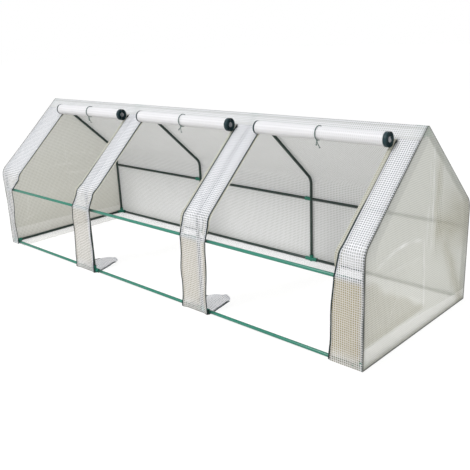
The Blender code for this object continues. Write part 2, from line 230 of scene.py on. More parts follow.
def dress(thing, material, body="frame_and_cover", stands=()):
    thing.data.materials.clear()
    thing.data.materials.append(material)
    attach(thing, body)
    if stands:
        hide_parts(*stands)
    return thing


# Colours and nodes

def linear(hexColour):
    parts = [int(hexColour[i:i + 2], 16) / 255 for i in (1, 3, 5)]
    return [p / 12.92 if p <= 0.04045 else ((p + 0.055) / 1.055) ** 2.4 for p in parts] + [1.0]


def addNode(tree, kind, inputs=(), out=0, **settings):
    # inputs is a row of values in socket order, or a dictionary by the sockets' names or numbers
    node = tree.nodes.new("ShaderNode" + kind)
    for name, value in settings.items():
        setattr(node, name, value)
    for socket, value in inputs.items() if isinstance(inputs, dict) else enumerate(inputs):
        if isinstance(value, bpy.types.NodeSocket):
            tree.links.new(value, node.inputs[socket])
        else:
            node.inputs[socket].default_value = value
    return node.outputs[out] if node.outputs else node


def newMaterial(name):
    material = bpy.data.materials.new(name)
    material.use_nodes = True
    material.node_tree.nodes.clear()
    return material, partial(addNode, material.node_tree)


# Camera at the photograph's angle, pale floor, soft light

cameraPlace = {
    "at": (2.5378, -2.372, 1.3011),
    "yaw": -43.813,
    "pitch": 17.913,
    "roll": -2.561,
    "lens": 49.15,
    "sensor": 36,
}


def makeCamera():
    spot = cameraPlace
    data = bpy.data.cameras.new("photo_camera")
    data.lens = spot["lens"]
    data.sensor_width = spot["sensor"]
    yaw, pitch, roll = (math.radians(spot[key]) for key in ("yaw", "pitch", "roll"))
    forward = Vector((math.cos(pitch) * math.sin(yaw), math.cos(pitch) * math.cos(yaw), -math.sin(pitch)))
    right = Vector((math.cos(yaw), -math.sin(yaw), 0))
    above = right.cross(forward)
    right, above = (
        math.cos(roll) * right + math.sin(roll) * above,
        -math.sin(roll) * right + math.cos(roll) * above,
    )
    turned = Matrix((right, above, -forward)).transposed().to_4x4()
    place = Matrix.Translation(spot["at"]) @ turned
    bpy.context.scene.camera = newObject("photo_camera", data, place)


stageLook = {
    "floorSize": 60.0,
    "floorDrop": 0.0012,  # the cover's skirts lie just above the floor
    "floor": ("#F2F0EC", "#EFEDE8"),
    "cloud": 1 / 1.2,
    "roughness": 0.85,
    "floorGlow": 0.78,  # share of white that the camera sees in the floor, so that it meets the surround
    "glowStrength": 1.12,
    "surround": "#F4F6FA",
    "sky": 0.76,
    # power in watts, size, place and target
    "key": (165, 1.4, (-0.6, -3.6, 4.2), (0.0, 0.0, 0.5)),
    "fill": (22, 3.0, (4.4, -0.6, 2.0), (0.6, 0.0, 0.4)),
    "back": (12, 3.0, (-1.5, 3.6, 2.6), (0.0, 0.0, 0.4)),
}


def softBox(name, power, size, at, target):
    data = bpy.data.lights.new(name, "AREA")
    data.energy = power
    data.shape = "DISK"
    data.size = size
    aim = (Vector(target) - Vector(at)).to_track_quat("-Z", "Y").to_matrix().to_4x4()
    newObject(name, data, Matrix.Translation(at) @ aim)


def seenRays(add):
    # 1 for what the eye sees, straight on, through glass or in a gloss, and 0 for what only gives light
    seen = add("LightPath", out="Is Camera Ray")
    for kind in ("Is Transmission Ray", "Is Glossy Ray"):
        seen = add("Math", (seen, add("LightPath", out=kind)), operation="MAXIMUM")
    return seen


def makeStage():
    look = stageLook
    white = linear("#FFFFFF")
    bpy.ops.mesh.primitive_plane_add(size=look["floorSize"], location=(0, 0, -look["floorDrop"]))
    floor = settle(bpy.context.object)
    floor.name = "studio_floor"
    material, add = newMaterial("matt_painted_floor")
    place = add("TexCoord", out="Object")
    cloud = add("TexNoise", {"Vector": place, "Scale": 1 / look["cloud"], "Detail": 3.0})
    first, second = (linear(colour) for colour in look["floor"])
    colour = add("Mix", {0: cloud, 6: first, 7: second}, 2, data_type="RGBA")
    paint = add("BsdfPrincipled", {"Base Color": colour, "Roughness": look["roughness"]})
    glow = add("Emission", (white, look["glowStrength"]))
    share = add("Math", (seenRays(add), look["floorGlow"]), operation="MULTIPLY")
    add("OutputMaterial", (add("MixShader", (share, paint, glow)),))
    floor.data.materials.append(material)
    for key in ("key", "fill", "back"):
        softBox(f"studio_{key}", *look[key])
    world = bpy.data.worlds.new("studio_surround")
    bpy.context.scene.world = world
    world.use_nodes = True
    world.node_tree.nodes.clear()
    add = partial(addNode, world.node_tree)
    dim = add("Background", (linear(look["surround"]), look["sky"]))
    bright = add("Background", (white, 1.0))
    add("OutputWorld", (add("MixShader", (seenRays(add), dim, bright)),))
    bpy.context.scene.view_settings.view_transform = "Standard"


makeCamera()
makeStage()
print("stage set")


# Materials. Grain and cloud sizes are in metres.

coatedSteelLook = {
    "paintedShade": "#06281F",
    "paintedLight": "#117560",
    "worn": "#5FA893",
    "roughness": (0.26, 0.48),
    "peel": 0.0012,  # ripples of the coat
    "scuff": 0.018,
    "scuffed": (0.62, 0.80, 0.0, 0.45),  # start and end of a scuff in its noise, and how far it shows
    "mottle": 1 / 9,
    "uneven": (0.3, 0.8),  # how far the mottle changes the painted light
    "paintedSunlit": (-0.20, -0.42),  # painted light on the open front between these depths, painted shade of the cover on the rest
    "outOfStripShade": (0.03, 0.10),  # distance from an arch at which the strips, and the painted shade under them, end
}


def coatedSteel():
    # polyester powder coat on thin steel tube: smooth, glossy, a faint orange peel and pale scuffs
    look = coatedSteelLook
    material, add = newMaterial("powder_coated_steel_tube")
    place = add("TexCoord", out="Object")
    scuffs = add("TexNoise", {"Vector": place, "Scale": 1 / look["scuff"], "Detail": 6.0, "Roughness": 0.7})
    worn = add("MapRange", (scuffs, *look["scuffed"]))
    mottle = add("TexNoise", {"Vector": place, "Scale": 1 / look["mottle"], "Detail": 2.0})
    # painted light and shade: lighter on the open front and away from the strips, darker under the cover
    paintedSunlit = add("MapRange", (add("SeparateXYZ", (place,), "Y"), *look["paintedSunlit"]))
    along = add("Math", (add("SeparateXYZ", (place,), "X"), archX[-1]), operation="ADD")
    fromArch = add("Math", (along, bayLength / 2), operation="PINGPONG")
    outOfStripShade = add("MapRange", (fromArch, *look["outOfStripShade"]))
    paintedLight = add("Math", (paintedSunlit, outOfStripShade), operation="MULTIPLY")
    uneven = add("Math", (mottle, *look["uneven"]), operation="MULTIPLY_ADD")
    paintedLight = add("Math", (paintedLight, uneven), operation="MULTIPLY")
    colours = {6: linear(look["paintedShade"]), 7: linear(look["paintedLight"])}
    coat = add("Mix", {0: paintedLight, **colours}, 2, data_type="RGBA")
    colour = add("Mix", {0: worn, 6: coat, 7: linear(look["worn"])}, 2, data_type="RGBA")
    ripple = add("TexNoise", {"Vector": place, "Scale": 1 / look["peel"], "Detail": 1.0})
    shader = add("BsdfPrincipled", {
        "Base Color": colour,
        "Roughness": add("MapRange", (scuffs, 0.0, 1.0, *look["roughness"])),
        "IOR": 1.5,
        "Coat Weight": 0.12,
        "Coat Roughness": 0.18,
        "Normal": add("Bump", {"Height": ripple, "Strength": 0.12, "Distance": 0.0002}),
    })
    add("OutputMaterial", (shader,))
    return material


jointLook = {  # polypropylene moulding: satin, fine spark grain, a little paler where it is rubbed
    "colours": ("#0F6552", "#1B7F68"),
    "cloud": (1 / 60, 4.0),  # size and detail
    "roughness": (0.40, 0.58),
    "grain": ("TexNoise", 0.0009, 2.0),
    "bump": (0.35, 0.0002),
    "shader": {"IOR": 1.49},
}
tapeLook = {  # woven polyester tape, near black with a teal cast: a slight silk sheen, ribs 1.1 mm apart
    "colours": ("#07191D", "#13383E"),
    "cloud": (1 / 90, 3.0),
    "roughness": (0.38, 0.55),
    "grain": ("TexVoronoi", 0.0011, 0.0),
    "bump": (0.5, 0.0003),
    "shader": {"Specular IOR Level": 0.25, "Coat Weight": 0.08, "Coat Roughness": 0.3},
}
nylonLook = {  # moulded nylon coil and sliders: hard, dark, slightly glossy
    "colours": ("#0C1416", "#1C2A2C"),
    "cloud": (1 / 220, 3.0),
    "roughness": (0.28, 0.45),
    "grain": ("TexNoise", 1 / 220, 3.0),
    "bump": (0.2, 0.0002),
    "shader": {"IOR": 1.53},
}
threadLook = {  # spun polyester sewing thread: matt, twisted, a grey white
    "colours": ("#A9ADAC", "#DADCDA"),
    "cloud": (1 / 900, 1.0),
    "roughness": 0.8,
    "grain": ("TexNoise", 1 / 900, 1.0),
    "bump": (0.5, 0.0002),
    "shader": {},
}


def cloudedMaterial(name, look):
    # two near colours in soft clouds, with a fine grain and, where two values are given, an uneven gloss
    material, add = newMaterial(name)
    place = add("TexCoord", out="Object")
    size, detail = look["cloud"]
    cloud = add("TexNoise", {"Vector": place, "Scale": 1 / size, "Detail": detail})
    first, second = (linear(colour) for colour in look["colours"])
    pattern, size, detail = look["grain"]
    grain = add(pattern, {"Vector": place, "Scale": 1 / size, "Detail": detail})
    strength, distance = look["bump"]
    gloss = look["roughness"]
    if isinstance(gloss, tuple):
        gloss = add("MapRange", (cloud, 0.0, 1.0, *gloss))
    shader = add("BsdfPrincipled", {
        "Base Color": add("Mix", {0: cloud, 6: first, 7: second}, 2, data_type="RGBA"),
        "Roughness": gloss,
        "Normal": add("Bump", {"Height": grain, "Strength": strength, "Distance": distance}),
        **look["shader"],
    })
    add("OutputMaterial", (shader,))
    return material


filmLook = {
    "pitch": 0.0097,  # from thread to thread of the scrim inside the film
    "threadShare": 0.40,
    "threadEdge": 0.05,
    "weaving": (1 / 22, 0.0022),  # over what length the threads wander, and how far
    "patches": 1 / 7,
    "crinkles": 1 / 55,
    "roughness": (0.26, 0.54),
    "through": 0.35,  # share of the light that is scattered on to the far side
    "stretched": "#FCFCFA",  # a crease in the film turns white
    "whitening": 0.92,
    "creased": 0.9,  # how opaque a crease is
    # colour of the painted shade along seams and edges
    "seamShade": "#26302F",
    "offThreads": 0.56,  # how much less dust lies on the threads
    "mostDust": 0.9,
    "opening": 0.8,  # how far soil below 0 opens the panes
    "threadRise": 0.35,
    "crinkleRise": 2.2,
    "bump": (0.55, 0.0008),
}
# one film, coloured for how light falls: painted shade in the gable and roof colours, painted light in the
# rolled one
films = {
    "front": {
        "pane": "#A9AEB6", "thread": "#F3F3F6", "opacity": (0.12, 0.96),  # of a pane and of a thread
        "dustAndShade": "#8E7A1E", "dusty": 0.03, "closes": 0.8,  # how far soil and painted shade close the panes
    },
    "gable": {
        "pane": "#D2D3CA", "thread": "#DEDFD7", "opacity": (0.68, 0.79),
        "dustAndShade": "#786D40", "dusty": 0.08, "closes": 0.25,
    },
    "roof": {
        "pane": "#C6C8C6", "thread": "#EFEFF1", "opacity": (0.46, 0.94),
        "dustAndShade": "#86866F", "dusty": 0.06, "closes": 0.8,
    },
    "rolled": {
        "pane": "#ECECEF", "thread": "#F5F5F7", "opacity": (1.0, 1.0),
        "dustAndShade": "#B9AE93", "dusty": 0.03, "closes": 0.8,
    },
}


def scrimThreads(add, uv):
    # a square grid of threads that wander a little: first 1 on any thread, then 1 only where two cross
    look = filmLook
    apart, wander = look["weaving"]
    drift = add("TexNoise", {"Vector": uv, "Scale": 1 / apart, "Detail": 1.0}, "Color")
    drift = add("VectorMath", (drift, (0.5, 0.5, 0.5)), operation="SUBTRACT")
    drift = add("VectorMath", {0: drift, 3: wander}, operation="SCALE")
    place = add("VectorMath", (uv, drift), operation="ADD")
    bands = []
    edge = 0.5 - look["threadShare"] / 2
    for axis in ("X", "Y"):
        across = add("SeparateXYZ", (place,), axis)
        phase = add("Math", (across, 1 / look["pitch"]), operation="MULTIPLY")
        phase = add("Math", (phase,), operation="FRACT")
        fromPane = add("Math", (phase, 0.5), operation="SUBTRACT")
        fromPane = add("Math", (fromPane,), operation="ABSOLUTE")
        soft = (fromPane, edge - look["threadEdge"], edge + look["threadEdge"])
        bands.append(add("MapRange", soft, interpolation_type="SMOOTHSTEP"))
    return add("Math", bands, operation="MAXIMUM"), add("Math", bands, operation="MULTIPLY")


def filmColour(add, film, lattice, patches, soilAndShade, creaseAndShade, seamShadeShare):
    # panes, threads, white creases, then dust and painted shade, less on the threads, then painted shade at
    # seams
    look = filmLook
    panes = {6: linear(film["pane"]), 7: linear(film["thread"])}
    clean = add("Mix", {0: lattice, **panes}, 2, data_type="RGBA")
    whiteningAndShade = add("Math", (creaseAndShade, look["whitening"]), operation="MULTIPLY")
    clean = add("Mix", {0: whiteningAndShade, 6: clean, 7: linear(look["stretched"])}, 2, data_type="RGBA")
    dusty = add("Math", (patches, film["dusty"], soilAndShade), operation="MULTIPLY_ADD")
    held = add("Math", (lattice, -look["offThreads"], 1.0), operation="MULTIPLY_ADD")
    dusty = add("Math", (dusty, held), operation="MULTIPLY")
    dusty = add("Math", (dusty, look["mostDust"]), operation="MINIMUM")
    colour = add("Mix", {0: dusty, 6: clean, 7: linear(film["dustAndShade"])}, 2, data_type="RGBA")
    return add("Mix", {0: seamShadeShare, 6: colour, 7: linear(look["seamShade"])}, 2, data_type="RGBA")


def filmOpacity(add, film, lattice, layers, soilAndShade, creaseAndShade, seamShadeShare):
    # hems are several sheets thick; soil and painted shade close the panes, and below 0 they open them
    look = filmLook
    opacity = add("MapRange", (lattice, 0.0, 1.0, *film["opacity"]))
    opacity = add("Math", (opacity, layers), operation="MAXIMUM")
    creased = add("Math", (creaseAndShade, look["creased"]), operation="MULTIPLY")
    opacity = add("Math", (opacity, creased), operation="MAXIMUM")
    closed = add("Math", (soilAndShade, 0.0), operation="MAXIMUM")
    opened = add("Math", (soilAndShade, 0.0), operation="MINIMUM")
    opacity = add("Math", (closed, film["closes"], opacity), operation="MULTIPLY_ADD")
    opacity = add("Math", (opened, look["opening"], opacity), operation="MULTIPLY_ADD")
    opacity = add("Math", (opacity, seamShadeShare), operation="MAXIMUM")
    return add("Math", (opacity, 1.0), operation="MINIMUM")


def reinforcedFilm(part):
    # woven polyethylene scrim between two clear films: white threads in a square grid, milky panes. The
    # sheet's own attributes say how many layers show, how soiled it is, where it is creased and where it has
    # painted shade.
    look, film = filmLook, films[part]
    material, add = newMaterial(f"reinforced_film_{part}")
    uv = add("UVMap", uv_map="film")
    lattice, crossings = scrimThreads(add, uv)
    layers, soilAndShade, creaseAndShade = (
        add("Attribute", out="Fac", attribute_name=name) for name in ("layers", "soilAndShade", "creaseAndShade")
    )
    seamShadeShare = add("Math", (creaseAndShade, -1.0), operation="MULTIPLY")  # a crease below 0 is painted shade along a seam
    seamShadeShare = add("Math", (seamShadeShare, 0.0), operation="MAXIMUM")
    patches = add("TexNoise", {"Vector": uv, "Scale": 1 / look["patches"], "Detail": 5.0, "Roughness": 0.6})
    colour = filmColour(add, film, lattice, patches, soilAndShade, creaseAndShade, seamShadeShare)
    opacity = filmOpacity(add, film, lattice, layers, soilAndShade, creaseAndShade, seamShadeShare)

    weave = add("Math", (crossings, 0.5, lattice), operation="MULTIPLY_ADD")
    crinkles = {"Vector": uv, "Scale": 1 / look["crinkles"], "Detail": 5.0, "Roughness": 0.65}
    rise = add("Math", (add("TexNoise", crinkles), look["crinkleRise"]), operation="MULTIPLY")
    rise = add("Math", (weave, look["threadRise"], rise), operation="MULTIPLY_ADD")
    strength, distance = look["bump"]
    bump = add("Bump", {"Height": rise, "Strength": strength, "Distance": distance})
    surface = add("BsdfPrincipled", {
        "Base Color": colour,
        "Roughness": add("MapRange", (patches, 0.0, 1.0, *look["roughness"])),
        "IOR": 1.51,
        "Normal": bump,
    })
    glow = add("BsdfTranslucent", {"Color": colour, "Normal": bump})
    body = add("MixShader", (look["through"], surface, glow))
    clear = add("BsdfTransparent")
    add("OutputMaterial", (add("MixShader", (opacity, clear, body)),))
    return material


cordLook = {
    "colours": ("#0A2420", "#235E51"),
    "strandPitch": 0.0032,
    "strandsRound": 4.0,
    "roughness": 0.55,
}


def braidedCord():
    # braided polypropylene cord, 4 mm: slanting strands, soft sheen
    look = cordLook
    material, add = newMaterial("braided_polypropylene_cord")
    uv = add("UVMap", uv_map="cord")
    along = add("SeparateXYZ", (uv,), "Y")
    along = add("Math", (along, 1 / look["strandPitch"]), operation="MULTIPLY")
    rises = []
    for sign in (1, -1):
        across = add("SeparateXYZ", (uv,), "X")
        phase = (across, sign * look["strandsRound"], along)
        phase = add("Math", phase, operation="MULTIPLY_ADD")
        phase = add("Math", (phase, 2 * math.pi), operation="MULTIPLY")
        rises.append(add("Math", (phase,), operation="SINE"))
    strands = add("Math", rises, operation="MAXIMUM")
    # painted shade: darker in the grooves between strands, lighter on their tops
    shown = add("MapRange", (strands, -0.4))
    first, second = (linear(colour) for colour in look["colours"])
    shader = add("BsdfPrincipled", {
        "Base Color": add("Mix", {0: shown, 6: first, 7: second}, 2, data_type="RGBA"),
        "Roughness": look["roughness"],
        "Sheen Weight": 0.25,
        "Normal": add("Bump", {"Height": strands, "Strength": 0.6, "Distance": 0.0004}),
    })
    add("OutputMaterial", (shader,))
    return material


steel = coatedSteel()
plastic = cloudedMaterial("moulded_polypropylene_joint", jointLook)
tape = cloudedMaterial("woven_polyester_zip_tape", tapeLook)
nylon = cloudedMaterial("moulded_nylon_zip", nylonLook)
thread = cloudedMaterial("spun_polyester_thread", threadLook)
cordMaterial = braidedCord()
stripFilm, gableFilm, roofFilm, rolledFilm = (reinforcedFilm(part) for part in films)
print("materials made")


# Tubes

tubeLook = {
    "sides": 20,
    "bendSteps": 14,
    "chamfer": 0.0008,
    "ridgeGap": 0.0111,  # from where the rafters' axes cross to the tube's end
}


def bentTube(node, side, x):
    # a disc at the foot, drawn up the leg, spun round the bend and drawn up the rafter
    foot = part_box(node)[0].z
    run = rafter - bendTangent - tubeLook["ridgeGap"]
    bpy.ops.mesh.primitive_circle_add(
        vertices=tubeLook["sides"], radius=tubeRadius, fill_type="NGON", location=(x, -side * legY, foot)
    )
    tube = settle(bpy.context.object)
    bpy.ops.object.mode_set(mode="EDIT")
    bpy.ops.mesh.select_all(action="SELECT")
    bpy.ops.mesh.extrude_region_move(TRANSFORM_OT_translate={"value": (0, 0, wallTop - foot)})
    bpy.ops.mesh.spin(
        steps=tubeLook["bendSteps"], angle=side * bendTurn, axis=(1, 0, 0),
        center=(x, -side * (legY - bend["radius"]), wallTop),
    )
    bpy.ops.mesh.extrude_region_move(
        TRANSFORM_OT_translate={"value": (0, side * run * math.cos(slope), run * math.sin(slope))}
    )
    mendNormals()
    leaveEdit()
    return tube


def straightRail(node):
    low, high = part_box(node)
    size = high - low
    axis = max(range(3), key=lambda i: size[i])
    turn = [(0, math.pi / 2, 0), (math.pi / 2, 0, 0), (0, 0, 0)][axis]
    bpy.ops.mesh.primitive_cylinder_add(
        vertices=tubeLook["sides"], radius=tubeRadius, depth=size[axis], location=(low + high) / 2,
        rotation=turn,
    )
    return settle(bpy.context.object)


for node in sorted(frame["nodes"]):
    if node.endswith("_tube"):
        piece = bentTube(node, 1 if "front" in node else -1, archX[int(node.split("_")[1]) - 1])
    elif "rail" in node or node == "ridge_pole":
        piece = straightRail(node)
    else:
        continue
    piece.name = node + "_coated"
    smooth(bevelled(piece, tubeLook["chamfer"], 60))
    dress(piece, steel, stands=[node])
print("tubes made")


# Plastic joints, modelled once for each kind and copied

jointSizes = {
    "radius": 0.0108,
    "sides": 24,
    # from the middle to the mouth of an arm that takes a rail, a leg or a rafter
    "rail": 0.038,
    "leg": 0.025,
    "rafter": 0.042,
    "lip": 0.0006,  # how far the mouth's lip stands out
    "lipLength": 0.004,
    "socketPlay": 0.0004,
    "socketEdge": 0.002,  # how far the socket's edge is rolled in
    "web": 0.0034,  # thickness of the gussets
    "webReach": 0.010,
    "ridgeWebReach": 0.014,
    "rounding": 0.0006,
}
armWays = {
    "east": ((1, 0, 0), "rail"),
    "west": ((-1, 0, 0), "rail"),
    "north": ((0, 1, 0), "rail"),
    "up": ((0, 0, 1), "leg"),
    "down": ((0, 0, -1), "leg"),
    "frontRafter": ((0, -math.cos(slope), -math.sin(slope)), "rafter"),
    "rearRafter": ((0, math.cos(slope), -math.sin(slope)), "rafter"),
}
jointKinds = {  # the arms, which one also closes the joint behind the middle, and the corners with a gusset
    "ridgeEnd": ("east frontRafter rearRafter", "east", "frontRafter-rearRafter"),
    "ridgeMiddle": ("east west frontRafter rearRafter", "", "frontRafter-rearRafter"),
    "midEnd": ("up down east", "", "up-east down-east"),
    "midMiddle": ("up down east west", "", "up-east up-west down-east down-west"),
    "footEnd": ("up east north", "up", "up-east up-north"),
    "footMiddle": ("up east west", "up", "up-east up-west"),
}


def sleeve(arm, closed):
    # one arm: a cylinder whose mouth carries a thicker lip, with the socket's edge rolled in
    sizes = jointSizes
    direction, kind = armWays[arm]
    way = Vector(direction).normalized()
    turn = Vector((0, 0, 1)).rotation_difference(way).to_euler()
    start = -sizes["radius"] if closed else 0
    lipStart = sizes[kind] - sizes["lipLength"]
    bpy.ops.mesh.primitive_cylinder_add(
        vertices=sizes["sides"], radius=sizes["radius"], depth=lipStart - start,
        location=way * (start + lipStart) / 2, rotation=turn,
    )
    piece = settle(bpy.context.object)
    editFaces(piece, lambda face: face.normal.dot(way) > 0.9)
    bpy.ops.mesh.extrude_region_shrink_fatten(TRANSFORM_OT_shrink_fatten={"value": 0.0})
    bpy.ops.transform.resize(value=[1 + sizes["lip"] / sizes["radius"]] * 3, center_override=way * lipStart)
    bpy.ops.mesh.extrude_region_move(TRANSFORM_OT_translate={"value": way * sizes["lipLength"]})
    bpy.ops.mesh.inset(thickness=sizes["radius"] + sizes["lip"] - tubeRadius - sizes["socketPlay"])
    bpy.ops.mesh.extrude_region_move(TRANSFORM_OT_translate={"value": -way * sizes["socketEdge"]})
    leaveEdit()
    return piece


def web(first, second, reach):
    # a thin gusset in the corner between two arms, with its outer corner pushed in
    a, b = (Vector(armWays[arm][0]).normalized() for arm in (first, second))
    middle = (a + b).normalized()
    root = middle * jointSizes["radius"] * 0.9
    plate = blockOf((reach, reach, jointSizes["web"]), (reach / 2, reach / 2, 0))
    corner = Matrix((a, b, a.cross(b).normalized())).transposed().to_4x4()
    plate.matrix_world = Matrix.Translation(root) @ corner
    settle(plate)
    clearSelection(plate)
    tip = a * reach + b * reach + root
    for vertex in plate.data.vertices:
        vertex.select = (vertex.co - tip).length < jointSizes["web"]
    bpy.ops.object.mode_set(mode="EDIT")
    bpy.ops.transform.translate(value=-middle * reach * 1.15)
    mendNormals()
    leaveEdit()
    return plate


def moulded(kind):
    arms, closing, corners = jointKinds[kind]
    reach = jointSizes["ridgeWebReach" if "ridge" in kind else "webReach"]
    solids = [sleeve(arm, arm == closing) for arm in arms.split()]
    solids += [web(*corner.split("-"), reach) for corner in corners.split()]
    body = solids[0]
    for other in solids[1:]:
        useModifier(body, "BOOLEAN", operation="UNION", object=other, solver="EXACT")
        bpy.data.objects.remove(other)
    body.name = kind
    return smooth(bevelled(body, jointSizes["rounding"], 32))


moulds = {kind: moulded(kind) for kind in jointKinds}
cornerTurns = {(-1, 0): 0, (-1, 3): 1, (1, 3): 2, (1, 0): 3}  # quarter turns of the corner feet
for i, x in enumerate(archX):
    spot = "End" if i in (0, 3) else "Middle"
    turn = math.pi if i == 3 else 0
    placings = [("ridge_joint", "ridge", 0, ridgeZ, turn)]
    for side, sideName in ((-1, "front"), (1, "rear")):
        footTurn = cornerTurns.get((side, i), 0) * math.pi / 2
        placings.append((f"{sideName}_mid_joint", "mid", side * legY, midRailZ, turn))
        placings.append((f"{sideName}_foot_joint", "foot", side * legY, footZ, footTurn))
    for name, kind, y, z, spin in placings:
        node = f"{name}_{i + 1}"
        place = Matrix.Translation((x, y, z)) @ Matrix.Rotation(spin, 4, "Z")
        joint = copyOf(moulds[kind + spot], node + "_moulded", place)
        dress(joint, plastic, stands=[node])
for mould in moulds.values():
    bpy.data.objects.remove(mould)
print("joints made")


# Cover. Each sheet is a fine grid laid on the frame's section, with its UVs in metres of cloth.

coverLook = {
    "offset": 0.01185,  # from the tubes' axes to the middle of the sheet
    "ground": 0.00075,
    "band": 0.070,  # from the ridge down to the doors' top seam
    "topSeam": 0.0703,  # where the strips and the doors start
    "skirt": 0.13,  # width that lies on the ground
    "skirtRise": (0.0022, 0.003),  # how far its free edge stands off the ground, and its bumps
    "flap": 0.19,  # length of what two strips fold inwards at the foot
    "endX": 1.3482,  # half the length of the roof's sheets
    "cell": 0.0115,  # spacing of the grid's lines
    "crumple": 0.0016,
    # the left end's front seam stands out between its joints: how far, at what height and how widely
    "bulges": ((0.011, 0.45, 0.16), (0.013, 0.02, 0.20)),
    "bulgeDepth": 0.16,  # how far back along the gable it is felt
}


def sectionAt(travel, offset=coverLook["offset"]):
    # front half of the section: y, z and the outward normal's y and z
    if travel <= slopeRun:
        y = -travel * math.cos(slope) - offset * math.sin(slope)
        z = ridgeZ - travel * math.sin(slope) + offset * math.cos(slope)
        return y, z, -math.sin(slope), math.cos(slope)
    if travel <= wallStart:
        turn = (wallStart - travel) / bend["radius"]
        reach = bend["radius"] + offset
        y = bend["radius"] - legY - reach * math.cos(turn)
        return y, wallTop + reach * math.sin(turn), -math.cos(turn), math.sin(turn)
    return -legY - offset, footTravel - travel, -1.0, 0.0


def noiseAt(x, y, seed, scale):
    return noise.noise(Vector((x / scale, y / scale, seed)))


def crumpled(x, y, seed):
    # stiff film: long soft buckles, and the sharp little facets of old fold lines
    soft = noiseAt(x, y, seed, 0.16) * 1.3 + noiseAt(x, y, seed + 7.1, 0.06) * 0.7
    facets = 0.5 - abs(noiseAt(x + 0.3 * y, y, seed + 3.7, 0.085))
    return soft + facets * 0.9


def softBand(value, middle, halfWidth):
    # 1 in the middle of a soft band, 0 outside it
    return math.exp(-(((value - middle) / halfWidth) ** 2))


def fold(distance, width, height=1.0):
    # a crease line: sharp top, soft flanks
    return height * math.exp(-abs(distance) / width)


def ramp(value, start, end):
    share = min(max((value - start) / (end - start), 0), 1)
    return share * share * (3 - 2 * share)


def layGrid(name, columns, rows, at):
    # at(i, j) gives the point, its UV in metres, how many layers show (0 to 1), how soiled it is, with
    # painted shade in places (below 0 is clearer than clean) and, if creased, how whitened (below 0 is
    # painted shade along a seam)
    points, uvs, attributes = [], [], []
    for j in range(rows + 1):
        for i in range(columns + 1):
            point, uv, layers, soilAndShade, *creaseAndShade = at(i, j)
            points.append(point)
            uvs.append(uv)
            attributes.append((layers, soilAndShade, creaseAndShade[0] if creaseAndShade else 0.0))
    faces = []
    for j in range(rows):
        for i in range(columns):
            a = j * (columns + 1) + i
            faces.append((a, a + 1, a + columns + 2, a + columns + 1))
    thing = fromPoints(name, points, faces)
    mesh = thing.data
    corners = np.empty(len(mesh.loops), dtype=np.int32)
    mesh.loops.foreach_get("vertex_index", corners)
    mesh.uv_layers.new(name="film").data.foreach_set("uv", np.array(uvs, dtype=np.float32)[corners].ravel())
    for label, values in zip(("layers", "soilAndShade", "creaseAndShade"), np.array(attributes, dtype=np.float32).T):
        mesh.attributes.new(label, "FLOAT", "POINT").data.foreach_set("value", np.ascontiguousarray(values))
    mesh.shade_smooth()
    return thing


def stepSpread(*parts):
    # a run of stretches, each given by its start, its end and its own number of steps
    values = [parts[0][0]]
    for start, end, steps in parts:
        values += [start + (end - start) * k / steps for k in range(1, steps + 1)]
    return values


def overArch(x, least=0.25, width=0.03):
    # how free the sheet is of the nearest arch, from least to 1
    distance = min(abs(x - spot) for spot in archX)
    return least + (1 - least) * (1 - softBand(distance, 0, width))


def hangShare(x):
    # 0 over an arch, 1 halfway between two
    return abs(math.sin(math.pi * (x - archX[0]) / bayLength)) if archX[0] <= x <= archX[-1] else 0.0


def bulgeAt(z):
    return sum(size * softBand(z, at, spread) for size, at, spread in coverLook["bulges"])


def skirtLift(along, share, seed, look):
    # how far a skirt stands up at a share of its width in from the wall
    start, size, rise, pace = look["skirtRipple"]
    least, high = coverLook["skirtRise"]
    bumps = high * max(noiseAt(along, share * coverLook["skirt"], seed, size), 0)
    return ramp(share, start, 0.5) * (least + bumps + rise * math.sin(pace * along) ** 2)


rearLook = {
    "rows": {"band": 14, "ridge": 8, "slope": 50, "bend": 8, "wall": 38, "skirt": 11},
    "layers": {"band": 1.0, "ridge": 0.55, "slope": 0.80, "wall": 0.80, "skirt": 0.2},
    "free": {"band": 0.5, "ridge": 0.2, "slope": 1.2, "wall": 1.0},  # how far each part crumples
    "slopeSag": 0.010,
    "wallSag": 0.002,
    "wallIn": 0.0032,  # how far the wall may lie inwards
    # height, how close they are and how far they wander
    "slopeRipple": (0.0016, 18, 7),
    "wallRipple": (0.0018, 31, 3),
    "skirtRipple": (0.18, 0.09, 0.0016, 40),  # where it begins, size of bumps, height and closeness of waves
    "mitre": 0.13266,  # how far the skirt's corners are drawn in
    "seams": (0.0065, 0.026),  # two lines of stitching hold the doors' hem
    "seamRise": 0.0007,
    "stitchShadeLines": (0.010, 0.060),  # painted shade along the stitching, where the seams fold
    "stitchShade": 0.34,
    "dustAndShade": 0.22,
    "trodden": -0.4,  # the skirt is trodden clean
    "seamShade": -0.45,  # painted shade at its ends, less dark than on the strips
}


def rearRows():
    # y, z, the normal's y and z, the part of the sheet and how far down that part
    count, ground = rearLook["rows"], coverLook["ground"]
    offset, skirt = coverLook["offset"], coverLook["skirt"]
    rows = []
    for travel in stepSpread((coverLook["band"], 0.0, count["band"])):
        rows.append((*sectionAt(travel), "band", travel))
    for turn in stepSpread((-slope, slope, count["ridge"]))[1:]:
        across, up = math.sin(turn), math.cos(turn)
        rows.append((offset * across, ridgeZ + offset * up, across, up, "ridge", 0.0))
    for travel in stepSpread((0.0, slopeRun, count["slope"]), (slopeRun, wallStart, count["bend"]))[1:]:
        y, z, ny, nz = sectionAt(travel)
        rows.append((-y, z, -ny, nz, "slope", travel))
    for share in stepSpread((0.0, 1.0, count["wall"]))[1:]:
        y, z, ny, nz = sectionAt(wallStart + (wallTop - ground) * share)
        rows.append((-y, z, -ny, nz, "wall", share))
    for share in stepSpread((0.0, 1.0, count["skirt"]))[1:]:
        rows.append((legY + offset - skirt * share, ground, 0.0, 1.0, "skirt", share))
    return rows


